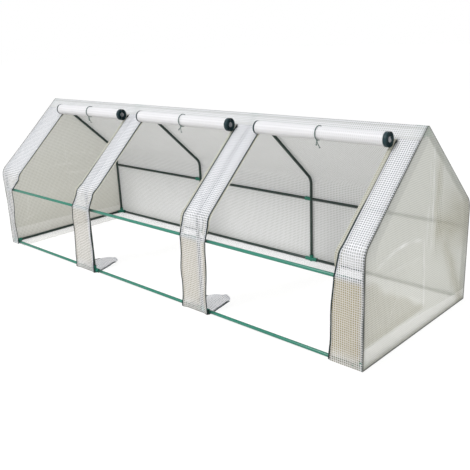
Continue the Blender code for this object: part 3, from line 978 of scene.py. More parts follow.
def rearLift(x, run, part, share):
    # how far a point stands off its row, by its place along the cloth
    look, hang = rearLook, hangShare(x)
    if part == "skirt":
        return skirtLift(x, share, 5.0, look)
    crumple = overArch(x) * look["free"][part] * coverLook["crumple"]
    if part in ("band", "ridge"):
        lift = crumple * crumpled(x, run, 1.0)
        for seam in look["seams"] if part == "band" else ():
            lift += fold(coverLook["band"] - share - seam, 0.0015, look["seamRise"])
        return lift
    crumple *= crumpled(x, run, 2.0)
    if part == "slope":
        rise, pace, wander = look["slopeRipple"]
        lift = -look["slopeSag"] * math.sin(math.pi * min(share / wallStart, 1)) * hang
        wave = math.sin(math.pi * min(share / slopeRun, 1))
        wave *= math.sin(pace * x + wander * noiseAt(x, run, 4.0, 0.3))
        return lift + crumple + rise * hang * wave
    rise, pace, wander = look["wallRipple"]
    sag = math.sin(math.pi * share) * hang
    wave = math.sin(pace * x + wander * noiseAt(x, run, 9.0, 0.25))
    return max(sag * (rise * wave - look["wallSag"]) + crumple, -look["wallIn"])


def makeRearSheet():
    look, endX = rearLook, coverLook["endX"]
    rows = rearRows()
    runs = [0.0]
    for before, after in zip(rows, rows[1:]):
        runs.append(runs[-1] + math.hypot(after[0] - before[0], after[1] - before[1]))
    columns = round(2 * endX / coverLook["cell"])

    def at(i, j):
        x = endX * (2 * i / columns - 1)
        y, z, ny, nz, part, share = rows[j]
        if part == "skirt":  # drawn in a little, as it goes round the corner
            x *= 1 - share * look["mitre"] / (length / 2)
        fromLine = min(abs(share - line) for line in look["stitchShadeLines"])
        soilAndShade = {
            # painted shade along the band's two rows of stitching
            "band": look["stitchShade"] * (fromLine < 0.003),
            "slope": look["dustAndShade"] * ramp(share, 0.0, 0.12),
            "wall": look["dustAndShade"] + 0.2 * ramp(share, 0.82, 1.0),
            "skirt": look["trodden"],
        }.get(part, 0.0)
        layers = 1.0 if j < 2 or j > len(rows) - 3 else look["layers"][part]
        lift = rearLift(x, runs[j], part, share)
        point = (x, y + ny * lift, z + nz * lift)
        return point, (x, runs[j]), layers, soilAndShade, look["seamShade"] if i in (0, columns) else 0.0

    thing = layGrid("cover_rear_sheet_film", columns, len(rows) - 1, at)
    dress(thing, roofFilm, stands=["cover_rear_sheet"])
    return thing


def halfWidth(z):
    if z <= wallTop:
        return depth / 2
    if z <= wallTop + (bend["radius"] + inset) * math.sin(bendTurn):
        return legY - bend["radius"] + math.sqrt((bend["radius"] + inset) ** 2 - (z - wallTop) ** 2)
    if z <= ridgeZ + inset * math.cos(slope):
        return (ridgeZ + inset / math.cos(slope) - z) / math.tan(slope)
    return math.sqrt(max(inset**2 - (z - ridgeZ) ** 2, 0))


gableLook = {
    "columns": 170,
    "skirtRows": 12,
    "wallRows": 174,
    "sag": 0.007,  # inwards, in the middle
    "skirtRipple": (0.15, 0.08, 0.0014, 43),  # as the rear sheet's
    "trodden": -0.5,
    "hem": (0.090, 0.060),  # height of the doubled foot at the front and at the rear
    "hemWhite": 0.70,  # folding has whitened it
    "seam": (0.016, 0.70),  # width along the frame, and how opaque it is
    "seamShadeWidth": 0.0055,  # width of the painted shade along the edges
    "slopeShade": 0.13,  # how dark the strip edge's painted shade is on the right gable
    # soil: dust on the foot, painted shade on the left gable, painted shade bands and splashed earth on the
    # right one
    "footDust": (0.11, 0.12),
    "leftGableShade": (0.29, 0.10),
    # how dark the painted shade bands on the right gable are
    "dustAndShade": 0.56,
    "splash": 0.44,
    # old fold lines as (y, z) at the foot and at the top, height, width and how white they are
    "creases": {
        1: [
            ((0.086, 0.34), (0.060, 0.82), 0.0060, 0.009, 1.0),
            ((0.052, 0.36), (0.040, 0.78), -0.0040, 0.010, 0.5),
            ((0.032, 0.09), (0.016, 0.42), 0.0050, 0.009, 0.95),
            ((0.135, 0.30), (0.120, 0.76), -0.0080, 0.026, 0.0),
            ((0.170, 0.42), (0.155, 0.74), 0.0040, 0.014, 0.3),
            ((0.400, 0.00), (0.220, 0.40), -0.0060, 0.030, 0.0),
            ((0.345, 0.02), (0.175, 0.42), 0.0034, 0.014, 0.2),
        ],
        -1: [
            ((-0.10, 0.30), (-0.13, 0.74), 0.0016, 0.010, 0.0),
            ((0.02, 0.20), (0.00, 0.84), 0.0018, 0.010, 0.15),
            ((0.20, 0.04), (0.16, 0.62), 0.0022, 0.012, 0.10),
            ((-0.36, 0.02), (-0.30, 0.30), 0.0030, 0.012, 0.30),
        ],
    },
    # folds that run across, as (y, z) at both ends, droop, height and how white
    "arcs": {
        1: [
            ((-0.41, 0.385), (0.03, 0.415), 0.042, 0.0044, 1.0),
            ((-0.395, 0.345), (-0.305, 0.09), 0.0, 0.0034, 0.2),
            ((-0.30, 0.615), (0.37, 0.394), 0.0, 0.0018, 0.0),
            ((-0.28, 0.11), (-0.18, 0.24), 0.02, 0.0026, 0.6),
            ((-0.33, 0.36), (0.00, 0.345), 0.0, 0.0020, 0.25),
        ],
        -1: [
            ((-0.14, 0.45), (0.12, 0.43), 0.012, 0.0026, 0.55),
            ((-0.02, 0.40), (0.20, 0.375), -0.010, 0.0020, 0.40),
            ((0.05, 0.52), (0.28, 0.47), 0.008, 0.0018, 0.30),
            ((-0.40, 0.10), (-0.24, 0.16), 0.01, 0.0024, 0.35),
        ],
    },
}


def gableFolds(side, y, z):
    # what the old fold lines add to a point's height, and how far they whiten it
    lines = []  # each one's distance, share, height, width and white, and how evenly and widely it whitens
    for foot, top, rise, width, white in gableLook["creases"][side]:
        along = (z - foot[1]) / (top[1] - foot[1])
        bow = 0.006 * math.sin(math.pi * along) + 0.004 * noiseAt(z, foot[0], 31.0, 0.12)
        away = y - (foot[0] + (top[0] - foot[0]) * along + bow)
        ends = ramp(along, -0.02, 0.15) * (1 - ramp(along, 0.85, 1.1))
        lines.append((away, ends, rise, width, white, 0.55, 36.0, 0.0064))
    for start, end, droop, rise, white in gableLook["arcs"][side]:
        along = (y - start[0]) / (end[0] - start[0])
        line = start[1] + (end[1] - start[1]) * along + droop * math.sin(math.pi * min(max(along, 0), 1))
        ends = ramp(along, -0.05, 0.2) * (1 - ramp(along, 0.75, 1.05))
        lines.append((z - line, ends, rise, 0.014, white, 0.50, 38.0, 0.0075))
    lift, whiteningAndShade = 0.0, 0.0
    for away, ends, rise, width, white, even, seed, spread in lines:
        lift += fold(away, width, rise * ends)
        patchy = even + 0.9 * max(noiseAt(y, z, seed, 0.07), -0.3)
        whiteningAndShade = max(whiteningAndShade, patchy * white * ends * softBand(away, 0, spread))
    return lift, whiteningAndShade


def gableSoilAndShade(side, y, z):
    look = gableLook
    broad, low = look["footDust"]
    soilAndShade = broad * (1 - ramp(z, 0.35, 0.65)) + low * (1 - ramp(z, 0.0, 0.09))
    if side < 0:
        # painted shade over the whole left gable, darker towards the foot
        leftGableShade, low = look["leftGableShade"]
        return soilAndShade + leftGableShade + low * (1 - ramp(z, 0.10, 0.30))
    # painted shade: a narrow upright band, a broad one beside it and one slanting to the foot
    drift = 0.03 * noiseAt(y, z, 44.0, 0.11)
    upright = softBand(y + 0.4 * drift, 0.128, 0.030) * ramp(z, 0.42, 0.50) * (1 - ramp(z, 0.66, 0.80))
    level = z + 2 * drift
    beside = ramp(y + drift, 0.09, 0.16) * ramp(level, 0.24, 0.42) * (1 - ramp(level, 0.44, 0.64))
    slanting = softBand(y + 0.4 * drift - 0.55 * (0.36 - z), 0.215, 0.045) * (1 - ramp(z, 0.34, 0.42))
    # splashed earth, highest at the front corner
    splash = (1 - ramp(z + 0.54 * (y + 0.42) + drift, 0.335, 0.385)) * ramp(z, 0.092, 0.104)
    soilAndShade += look["dustAndShade"] * max(0.8 * upright, beside, 0.9 * slanting)
    return soilAndShade + look["splash"] * splash * (1 - ramp(y, 0.04, 0.12))


def makeGable(side, sideName):
    look = gableLook
    skirt, ground = coverLook["skirt"], coverLook["ground"]
    flush = length / 2 - ground

    def standing(y, z):
        return (side < 0) * bulgeAt(z) * (1 - ramp(y + depth / 2, 0.0, coverLook["bulgeDepth"]))

    def skirtAt(share, inward):
        y = min(max(share * depth / 2, 0.004 - depth / 2), depth / 2 - skirt * inward - 0.004)
        x = flush - skirt * inward + standing(y, 0) * (1 - inward)
        z = ground + skirtLift(y, inward, 6.0 + side, look)
        return (side * x, y, z), (y, -skirt * inward), 0.9 * (inward > 0.9), look["trodden"]

    def wallAt(share, z):
        y = share * halfWidth(z)
        swell = math.sin(math.pi * z / height)
        sag = look["sag"] * (1 - share**2) ** 2 * swell**2
        folded, whiteningAndShade = gableFolds(side, y, z)
        lift = 1.1 * coverLook["crumple"] * crumpled(y, z, 20.0 + side) + folded
        lift *= (1 - share**8) * math.sqrt(swell)
        x = side * (flush - sag + min(lift, sag + 0.006) + standing(y, z))
        fromSeam = (1 - abs(share)) * halfWidth(z)
        layers = look["seam"][1] if fromSeam < look["seam"][0] else 0.0
        front, rear = look["hem"]
        hem = front + (rear - front) * ramp(y, -0.2, 0.45)
        hemWhite = look["hemWhite"] * ramp(z, 0.016, 0.026) * (1 - ramp(z, hem - 0.004, hem + 0.002))
        whiteningAndShade = max(whiteningAndShade, hemWhite)
        if side > 0:
            # painted shade: the strip's turned-in edge darkens the film along the front slope
            shade = (1 - ramp(fromSeam * math.sin(slope), 0.050, 0.060)) * ramp(z, 0.40, 0.50) * (y < 0)
            whiteningAndShade -= look["slopeShade"] * shade
            layers = max(layers, 0.90 * (z < hem))
        soilAndShade = gableSoilAndShade(side, y, z)
        # painted shade: a dark line along the seams and at the foot
        if fromSeam < look["seamShadeWidth"] or z < 0.008:
            soilAndShade, whiteningAndShade = 0.5, -0.75
        return (x, y, z), (y, z), layers, soilAndShade, whiteningAndShade

    def at(i, j):
        share = 2 * i / look["columns"] - 1
        if j < look["skirtRows"]:
            return skirtAt(share, 1 - j / look["skirtRows"])
        level = (j - look["skirtRows"]) / look["wallRows"]
        return wallAt(share, ground + (height - 0.0004 - ground) * level)

    node = f"cover_{sideName}_gable"
    thing = layGrid(node + "_film", look["columns"], look["skirtRows"] + look["wallRows"], at)
    if side > 0:
        thing.data.flip_normals()
    dress(thing, gableFilm, stands=[node])
    return thing


# Front strips, which stay beside the doors

stripLook = {
    # each edge along X from the strip's own arch: on the roof, at the bend, at the mid rail and at the
    # foot; None is sewn to a gable
    "edges": {
        1: (None, (0.195, 0.172, 0.067, 0.037)),
        2: ((-0.039, -0.074, -0.134, -0.156), (0.103, 0.071, 0.021, 0.011)),
        3: ((-0.071, -0.086, -0.111, -0.124), (0.079, 0.074, 0.049, 0.038)),
        4: ((-0.089, -0.102, -0.123, -0.145), None),
    },
    "wave": 0.004,  # how far an edge wanders on the wall
    # creases down the strip: share across at the top and foot, start and end of travel, height, width
    "folds": {
        1: [
            (0.20, 0.25, 0.10, 0.95, 0.0034, 0.009),
            (0.62, 0.50, 0.16, 0.60, 0.0030, 0.010),
            (0.75, 0.55, 0.55, 1.05, 0.0036, 0.009),
        ],
        2: [
            (0.42, 0.52, 0.08, 0.60, 0.0056, 0.006),
            (0.25, 0.35, 0.50, 1.05, 0.0040, 0.010),
            (0.70, 0.75, 0.30, 1.00, 0.0034, 0.008),
        ],
        3: [
            (0.47, 0.56, 0.08, 0.58, 0.0062, 0.006),
            (0.62, 0.70, 0.55, 1.05, 0.0040, 0.009),
            (0.24, 0.30, 0.40, 1.02, 0.0034, 0.010),
        ],
        4: [(0.32, 0.22, 0.10, 0.62, 0.0032, 0.009), (0.58, 0.62, 0.52, 1.05, 0.0036, 0.010)],
    },
    "railCrease": (0.006, 0.0016),  # width and height
    "flutter": 0.0022,  # how far the loose edges ripple
    "flare": 0.006,  # how far the loose edges stand off the leg at the foot
    "stiffened": 0.85,  # share of all this that the zip's tape takes out on the slope
    "soilAndShade": (0.24, 0.58, 0.68, 0.88),  # darker and tan on each strip below the mid rail
    "doubled": (0.84, 0.85, 0.80, 0.66),  # how far a second sheet closes each one's panes on the slope
    # width of a hem, and how opaque it is; along a gable it is a share of the doubled sheet
    "zipHem": (0.0075, 0.9),
    "gableHem": (0.017, 0.25),
    "hems": (0.009, 0.012, 0.7),  # half the band on the mid rail, the hem at the foot, how opaque they are
    "rubbed": (0.012, 0.012),  # place beside the leg's axis and half the width of what it rubs clean
    "seamShade": -0.85,  # painted shade darkens the edge at a gable
    "flapped": (2, 3),  # these strips end in a flap that is folded inwards
    "flapLift": (0.004, 0.007),  # off the ground, and its bumps
    "freeEnd": 0.015,  # how far the flap's end stands up
    "flapFold": 0.006,
    "flapLayers": (0.66, 1.0),  # inside and along its edges
    "columns": (28, 24),  # without and with a flap
    "rows": (46, 9, 40),  # on the slope, round the bend and on the wall
    "flapRows": 15,
}


def edgeAt(strip, which, travel):
    # where a strip's left edge (0) or right edge (1) lies along X, at a distance from the ridge
    edge = stripLook["edges"][strip][which]
    if edge is None:
        return coverLook["endX"] * (2 * which - 1)
    roof, atBend, atRail, foot = edge
    level = min(max((footTravel - travel) / wallTop, 0), 1)
    wave = stripLook["wave"] * math.sin(3 * math.pi * level + 1.5 * which) * (1 - level)
    beside = float(np.interp(level, (0, midRailZ / wallTop, 1), (foot, atRail, atBend)))
    return archX[strip - 1] + beside + wave + (roof - atBend) * (1 - ramp(travel, slopeRun, wallStart))


def stripPoint(strip, share, travel, raised=0.0):
    # a point of the strip's face, with its normal; raised lifts trim off the film
    look = stripLook
    left, right = edgeAt(strip, 0, travel), edgeAt(strip, 1, travel)
    x = left + (right - left) * share
    y, z, ny, nz = sectionAt(travel)
    fromEdge = min(share, 1 - share) * (right - left)
    lift = overArch(x, 0.35, 0.02) * coverLook["crumple"] * 1.1 * crumpled(x, travel, 40.0 + strip)
    for top, low, start, end, rise, width in look["folds"][strip]:
        along = (travel - start) / (end - start)
        line = top + (low - top) * along + 0.03 * noiseAt(travel, top, 50.0 + strip, 0.2)
        ends = ramp(along, -0.03, 0.12) * (1 - ramp(along, 0.86, 1.03))
        lift += fold((share - line) * (right - left), width, rise * ends)
    lift += fold(travel - railTravel, *look["railCrease"])
    loose = 1 - ramp(fromEdge, 0.0, 0.03)
    flutter = look["flutter"] * math.sin(travel * 29 + 2.3 * strip + 4 * (share > 0.5))
    lift += flutter * loose * ramp(travel, slopeRun, slopeRun + 0.12)
    lift *= ramp(travel, coverLook["band"], coverLook["band"] + 0.02)
    lift *= 1 - 0.8 * ramp(travel, footTravel - 0.03, footTravel)
    onTape = (1 - ramp(fromEdge, 0.008, 0.026)) * (1 - ramp(travel, slopeRun, wallStart + 0.02))
    lift = max(lift * (1 - look["stiffened"] * onTape), -0.0026) + raised
    if strip in look["flapped"]:
        lift += look["flare"] * (1 - ramp(z, 0.0, 0.16)) * loose
    if strip == 1:
        x -= bulgeAt(z) * (1 - share) ** 2
    normal = Vector((0, ny, nz))
    return Vector((x, y, z)) + normal * lift, normal


def flapPoint(strip, share, along, raised=0.0):
    # a point of the flap that is folded inwards at the foot; along is 0 at the fold and 1 at its end
    ground = coverLook["ground"]
    start, _ = stripPoint(strip, share, footTravel - ground)
    left, right = (edgeAt(strip, which, footTravel - ground) for which in (0, 1))
    narrow = 0.04 * along**2
    x = left + (right - left) * (narrow + (1 - 2 * narrow) * share) + 0.010 * along
    y = ground - depth / 2 + coverLook["flap"] * along * (1 - 0.22 * (2 * share - 1) ** 4 * along)
    least, bumps = stripLook["flapLift"]
    lift = ramp(along, 0.10, 0.45) * (least + bumps * max(noiseAt(x, y, 60.0 + strip, 0.07), 0))
    lift += stripLook["freeEnd"] * ramp(along, 0.20, 0.95) * (0.4 + 0.6 * ramp(share, 0.1, 0.8))
    lift += stripLook["flapFold"] * ramp(along, 0.05, 0.3) * softBand(share - 0.2 * along, 0.42, 0.10)
    y += (start.y + depth / 2 - ground) * (1 - along) ** 2
    return Vector((x, y, ground + lift + raised)), Vector((0, 0, 1))


def makeStrip(strip):
    look = stripLook
    hasFlap = strip in look["flapped"]
    bottom = footTravel - (coverLook["ground"] if hasFlap else 0)
    stops = (coverLook["topSeam"], slopeRun, wallStart, bottom)
    travels = stepSpread(*zip(stops, stops[1:], look["rows"]))
    columns = look["columns"][hasFlap]
    railBand, footHem, hemLayers = look["hems"]

    def at(i, j):
        share = i / columns
        if j >= len(travels):
            along = (j - len(travels) + 1) / look["flapRows"]
            point, _ = flapPoint(strip, share, along)
            layers = look["flapLayers"][along > 0.9 or i in (0, columns)]
            return point, (point.x, bottom + coverLook["flap"] * along), layers, 0.0
        travel = travels[j]
        point, _ = stripPoint(strip, share, travel)
        left, right = edgeAt(strip, 0, travel), edgeAt(strip, 1, travel)
        fromEdge = min(share, 1 - share) * (right - left)
        byZip = look["edges"][strip][int(share >= 0.5)] is not None
        layers = look["doubled"][strip - 1] * (1 - ramp(travel, slopeRun - 0.02, wallStart + 0.05))
        if byZip and fromEdge < look["zipHem"][0]:
            layers = look["zipHem"][1]
        if not byZip and fromEdge < look["gableHem"][0]:
            layers *= look["gableHem"][1]
        if abs(travel - railTravel) < railBand or bottom - travel < footHem:
            layers = hemLayers
        soilAndShade = look["soilAndShade"][strip - 1] * ramp(travel, railTravel - 0.01, railTravel + 0.02)
        soilAndShade *= 1.0 - 0.5 * ramp(travel, bottom - 0.08, bottom)
        soilAndShade *= 1 - softBand(point.x - archX[strip - 1], *look["rubbed"])
        creaseAndShade = look["seamShade"] if i in (0, columns) and not byZip else 0.0
        return point, (left + (right - left) * share, travel), layers, soilAndShade, creaseAndShade

    rows = len(travels) - 1 + (look["flapRows"] if hasFlap else 0)
    thing = layGrid(f"cover_front_strip_{strip}_film", columns, rows, at)
    dress(thing, stripFilm, stands=[f"cover_front_strip_{strip}"])
    return thing


makeRearSheet()
makeGable(-1, "left")
makeGable(1, "right")
for strip in stripLook["edges"]:
    makeStrip(strip)
print("cover made")


# Doors, rolled up

rollLook = {
    "radius": 0.03125,
    "core": 0.010,  # radius of the hollow inside
    "drop": 0.100,  # its place down the slope
    "clearance": 0.0092,  # from its ends to the strips' edges on the roof
    "wound": 1.004,  # length of door on it
    "stepsPerTurn": 26,
    "cell": 0.0125,
    "sway": 0.0006,
    "ripples": ((0.0009, 0.07, 1.2), (0.0005, 0.018, 3)),  # height, length along it, how many round it
    "drift": (0.0022, 9, 0.0015, 40),  # how far the turns' edges wander and how often, then as a wave
    "ragged": 0.0012,  # how far a turn may stand out at the end
    "soilAndShade": (0.10, 0.2),  # how soiled, and on what share of the length from outside
    "tape": (0.0085, 0.0175),  # how wide it shows at the left end and at the right end
    "beside": 0.6,  # share of that width that lies beside the film
    "taped": 0.90,  # share of the wound length, from outside, whose edges show tape
    "tapeLift": 0.0007,
    "tapeThickness": 0.0009,
    "pinch": (0.0022, 0.020),  # how deep and how widely the tie presses
    "tieShift": 0.004,  # from the roll's middle to its tie
    "runRows": 24,
    "runMargin": 0.004,  # from its edges to the roll's ends
    "runDrop": 0.0004,  # how far it lies under the strips' level
    "deployed": 0.45,  # length of the upper run when the door is down
}
rollTurns = rollLook["wound"] / (math.pi * (rollLook["radius"] + rollLook["core"]))


def roofPlace(x, travel, offset):
    y, z, _, _ = sectionAt(travel, offset)
    return Matrix.Translation((x, y, z)) @ Matrix.Rotation(slope, 4, "X")


def rollEnds(door):
    # the left end, the right end and the tie along X
    left = edgeAt(door, 1, 0.2) + rollLook["clearance"]
    right = edgeAt(door + 1, 0, 0.2) - rollLook["clearance"]
    return left, right, (left + right) / 2 + rollLook["tieShift"]


def rollPoint(x, share, door):
    # in the roll's own axes; share 0 is where the sheet meets the roll under it, 1 is the core
    look = rollLook
    seed = 1.7 * door
    angle = 2 * math.pi * rollTurns * share
    radius = look["radius"] - (look["radius"] - look["core"]) * share
    change = look["sway"] * math.sin(3 * angle / 7 + 11 * x + seed)
    for rise, size, around in look["ripples"]:
        place = (x / size, math.cos(angle) * around, math.sin(angle) * around + seed)
        change += rise * noise.noise(Vector(place))
    deep, spread = look["pinch"]
    change -= deep * softBand(x, rollEnds(door)[2], spread)
    radius *= 1 + change / look["radius"]
    return Vector((x, -radius * math.sin(angle), -radius * math.cos(angle)))


def makeRoll(door):
    look = rollLook
    left, right, _ = rollEnds(door)
    place = roofPlace(0, look["drop"], coverLook["offset"] + look["radius"])
    steps = round(rollTurns * look["stepsPerTurn"])
    xs = stepSpread((0, 1, round((right - left) / look["cell"])))
    body = f"door_{door}_roll"

    def ragged(share, side):
        # how far a turn's edge is off the roll's end
        uneven, often, wave, pace = look["drift"]
        drift = uneven * noise.noise(Vector((share * often, side * 3, door * 5)))
        drift += wave * math.sin(share * pace + side)
        return side * min(side * drift, look["ragged"])

    def filmAt(i, j):
        share = j / steps
        beside = look["beside"] * (1 - ramp(share, look["taped"] - 0.05, look["taped"]))
        low = left + look["tape"][0] * beside + ragged(share, -1)
        high = right - look["tape"][1] * beside + ragged(share, 1)
        x = low + (high - low) * xs[i]
        soilAndShade = look["soilAndShade"][0] * (share < look["soilAndShade"][1])
        return place @ rollPoint(x, share, door), (x, share * look["wound"]), 1.0, soilAndShade

    def tapeAt(side):
        outer, shown = (left, look["tape"][0]) if side < 0 else (right, look["tape"][1])

        def at(i, j):
            share = j / steps * look["taped"]
            x = outer - side * shown * i / 4 + ragged(share, side)
            point = rollPoint(x, share, door)
            point += Vector((0, point.y, point.z)).normalized() * look["tapeLift"]
            return place @ point, (x, share * look["wound"]), 1.0, 0.0

        return at

    film = layGrid(f"door_{door}_rolled_film", len(xs) - 1, steps, filmAt)
    film.data.flip_normals()
    dress(film, rolledFilm, body, stands=[body])
    # zip tape sewn along both edges, wound up with the film
    for side, sideName in ((-1, "left"), (1, "right")):
        ribbon = layGrid(f"door_{door}_{sideName}_wound_tape", 4, steps, tapeAt(side))
        useModifier(ribbon, "SOLIDIFY", thickness=look["tapeThickness"], offset=0)
        dress(ribbon, tape, body)


def makeUpperRun(door):
    # the short run of door from the top seam to the roll, which grows as the door comes down
    look = rollLook
    left, right, _ = rollEnds(door)
    seam, drop, margin = coverLook["topSeam"], look["drop"], look["runMargin"]
    xs = stepSpread((left + margin, right - margin, round((right - left) / look["cell"])))

    def at(i, j):
        share = j / look["runRows"]
        y, z, ny, nz = sectionAt(seam + (drop - seam) * share)
        lift = look["runDrop"] * (noiseAt(xs[i], share, 70.0 + door, 0.05) * math.sin(math.pi * share) - 1)
        return (xs[i], y + ny * lift, z + nz * lift), (xs[i], share * look["deployed"]), 0.0, 0.0

    run = layGrid(f"door_{door}_upper_run", len(xs) - 1, look["runRows"], at)
    dress(run, stripFilm, f"door_{door}_roll")
    run.parent = None  # it is kept without a parent
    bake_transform(run)


for door in (1, 2, 3):
    makeRoll(door)
    makeUpperRun(door)
print("doors made")


# Trim along the sheets: zip tape and teeth, storm flaps behind them, and stitches

trimLook = {
    "step": 0.010,  # between the places that give a path
    "tapeIn": 0.0050,  # under the film
    "tapeOut": 0.0060,  # beside it
    "tapeDrop": 0.0008,
    "tapeThickness": 0.0007,
    "tucked": ((2, 0), (4, 0)),  # strip and edge where the tape has slipped under the film on the slope
    "tooth": (0.0026, 0.0016, 0.0014),  # width, length and height
    "toothStep": 0.0030,
    "stitch": (0.0008, 0.0046, 0.0007),
    "stitchStep": 0.0066,
    "stitchInset": 0.0055,
    "stitchRise": 0.0003,
    # from the ridge down to where it begins, and from where it ends down to the foot
    "zipRun": (0.071, 0.002),
    "stitchRun": (0.074, 0.006),
    "bandRows": (0.012, 0.064),  # two rows of stitches down the ridge band, over the doors' top hem
    "flapEnd": 0.022,  # above the mid rail
    "flapGap": 0.0019,  # under the film
    "flapColumns": 6,
    "flapWidth": 0.038,
    "flapReach": (0.023, 0.014),  # shown beside a strip's left edge and beside its right edge
    # painted shade on the storm flaps, which lie under the film
    "flapShade": 0.55,
}


def pathFrames(points, normals):
    # a matrix at each point: +Y along the path, +Z out of the face
    frames = []
    for i, (point, normal) in enumerate(zip(points, normals)):
        along = (points[min(i + 1, len(points) - 1)] - points[max(i - 1, 0)]).normalized()
        out = (normal - along * normal.dot(along)).normalized()
        turned = Matrix((along.cross(out), along, out)).transposed().to_4x4()
        frames.append(Matrix.Translation(point) @ turned)
    return frames


def evenFrames(points, normals, step):
    # the same at places a fixed step apart
    found, outs, left = [], [], step / 2
    for k in range(len(points) - 1):
        run = (points[k + 1] - points[k]).length
        while left < run:
            share = left / run
            found.append(points[k].lerp(points[k + 1], share))
            outs.append(normals[k].lerp(normals[k + 1], share).normalized())
            left += step
        left -= run
    return pathFrames(found, outs)


def stampAlong(name, unit, frames):
    # one small modelled shape, repeated at each place in a single mesh
    base = np.array([vertex.co[:] for vertex in unit.data.vertices])
    polygons = [list(face.vertices) for face in unit.data.polygons]
    points, faces = [], []
    for k, place in enumerate(frames):
        turn = np.array(place)
        points += (base @ turn[:3, :3].T + turn[:3, 3]).tolist()
        faces += [[v + k * len(base) for v in polygon] for polygon in polygons]
    return smooth(fromPoints(name, points, faces), 50)


def makeTooth():
    # one moulded tooth: a block with a narrowed nose
    w, l, h = trimLook["tooth"]
    block = blockOf((w, l, h))
    editFaces(block, lambda face: face.normal.x > 0.9)
    bpy.ops.mesh.inset(thickness=l * 0.22)
    bpy.ops.transform.translate(value=(w * 0.25, 0, 0))
    leaveEdit()
    return block


def makeStitch():
    # one thread stitch: a short bar that sinks in at both ends
    w, l, h = trimLook["stitch"]
    bar = blockOf((w, l * 0.6, h))
    editFaces(bar, lambda face: abs(face.normal.y) > 0.9)
    bpy.ops.mesh.extrude_region_move(TRANSFORM_OT_translate={"value": (0, 0, 0)})
    leaveEdit()
    for vertex in bar.data.vertices:
        if vertex.select:
            vertex.co.y += math.copysign(l * 0.2, vertex.co.y)
            vertex.co.x *= 0.55
            vertex.co.z = vertex.co.z * 0.4 - h * 0.35
    return bar


def edgePath(strip, which, start, end, margin=0.0, raised=0.0, withFlap=False):
    # points and normals down a strip's edge, a margin in from it
    pairs = []
    for travel in stepSpread((start, end, round((end - start) / trimLook["step"]))):
        fromEdge = margin / (edgeAt(strip, 1, travel) - edgeAt(strip, 0, travel))
        share = 1 - fromEdge if which else fromEdge
        pairs.append(stripPoint(strip, share, travel, raised))
    if withFlap and strip in stripLook["flapped"]:
        pairs += [flapPoint(strip, share, k / 19, raised) for k in range(1, 20)]
    return [point for point, _ in pairs], [normal for _, normal in pairs]


tooth, stitch = makeTooth(), makeStitch()


def makeZip(strip, which):
    look = trimLook
    name = f"cover_front_strip_{strip}_{('left', 'right')[which]}"
    away = 1 - 2 * which  # +X of the frames points to the strip's left
    begin, end = look["zipRun"]
    path = edgePath(strip, which, begin, footTravel - end, withFlap=True)
    frames = pathFrames(*path)

    def shown(frame):
        # how far the tape shows beside the film
        beside = ramp(-frame.translation.y, 0.24, 0.36) if (strip, which) in look["tucked"] else 1
        return look["tapeOut"] * (0.15 + 0.85 * beside)

    def tapeAt(i, j):
        across = away * ((shown(frames[j]) + look["tapeIn"]) * i / 2 - look["tapeIn"])
        return frames[j] @ Vector((across, 0, -look["tapeDrop"])), (across, j * look["step"]), 1.0, 0.0

    ribbon = layGrid(name + "_zip_tape", 2, len(frames) - 1, tapeAt)
    dress(useModifier(ribbon, "SOLIDIFY", thickness=look["tapeThickness"], offset=0), tape)
    turned = Matrix.Rotation(math.pi * which, 4, "Z")
    places = [
        frame @ Matrix.Translation((away * (shown(frame) - 0.0006), 0, 0.0004)) @ turned
        for frame in evenFrames(*path, look["toothStep"])
    ]
    dress(stampAlong(name + "_zip_teeth", tooth, places), nylon)
    begin, end = look["stitchRun"]
    path = edgePath(strip, which, begin, footTravel - end, look["stitchInset"], look["stitchRise"])
    dress(stampAlong(name + "_stitches", stitch, evenFrames(*path, look["stitchStep"])), thread)


def makeStormFlap(strip, which):
    # a loose strip of film behind the zip, from the top seam to the mid rail, darkened with painted shade
    look = trimLook
    reach, width, columns = look["flapReach"][which], look["flapWidth"], look["flapColumns"]
    frames = pathFrames(*edgePath(strip, which, look["zipRun"][0], railTravel - look["flapEnd"]))

    def at(i, j):
        across = reach - width * i / columns
        along = j / (len(frames) - 1)
        taper = min(1.0, (1 - along) * 9 + 0.25) if across > 0 else 1
        ripple = 0.0006 * noiseAt(along * 3, i * 0.1, 80.0 + strip + which, 0.4)
        hang = -look["flapGap"] - 0.0010 * max(1 - i / 3, 0) + ripple
        point = frames[j] @ Vector(((1 - 2 * which) * across * taper, 0, hang))
        return point, (across + strip * 0.3, along * 0.72), 0.9 if i < 2 else 0.8, look["flapShade"]

    sideName = ("left", "right")[which]
    flap = layGrid(f"cover_front_strip_{strip}_{sideName}_storm_flap", columns, len(frames) - 1, at)
    dress(flap, gableFilm)


for strip, edges in stripLook["edges"].items():
    for which in (0, 1):
        if edges[which] is not None:
            makeZip(strip, which)
            makeStormFlap(strip, which)
print("zips and storm flaps made")

places = []
for drop in trimLook["bandRows"]:
    points, normals = [], []
    y, z, ny, nz = sectionAt(drop)
    rowEnd = coverLook["endX"] - 0.004
    for x in stepSpread((-rowEnd, rowEnd, 270)):
        crumple = coverLook["crumple"] * crumpled(x, coverLook["band"] - drop, 1.0)
        lift = 0.0007 + 0.5 * crumple * overArch(x)
        points.append(Vector((x, y + ny * lift, z + nz * lift)))
        normals.append(Vector((0, ny, nz)))
    places += evenFrames(points, normals, trimLook["stitchStep"])
dress(stampAlong("cover_ridge_band_stitches", stitch, places), thread)

# both gable seams, on the strips and, mirrored, on the rear sheet
mirror = Matrix.Diagonal((1, -1, 1))
for sideName, strip, which in (("left", 1, 0), ("right", 4, 1)):
    front = edgePath(strip, which, 0.02, footTravel - 0.004, 0.004, 0.0004)
    rear = [[mirror @ each for each in found] for found in front]
    places = [frame for path in (front, rear) for frame in evenFrames(*path, trimLook["stitchStep"])]
    dress(stampAlong(f"cover_{sideName}_gable_stitches", stitch, places), thread)
bpy.data.objects.remove(tooth)
bpy.data.objects.remove(stitch)
print("stitches made")


# Ties that hold the rolls, one round the middle of each

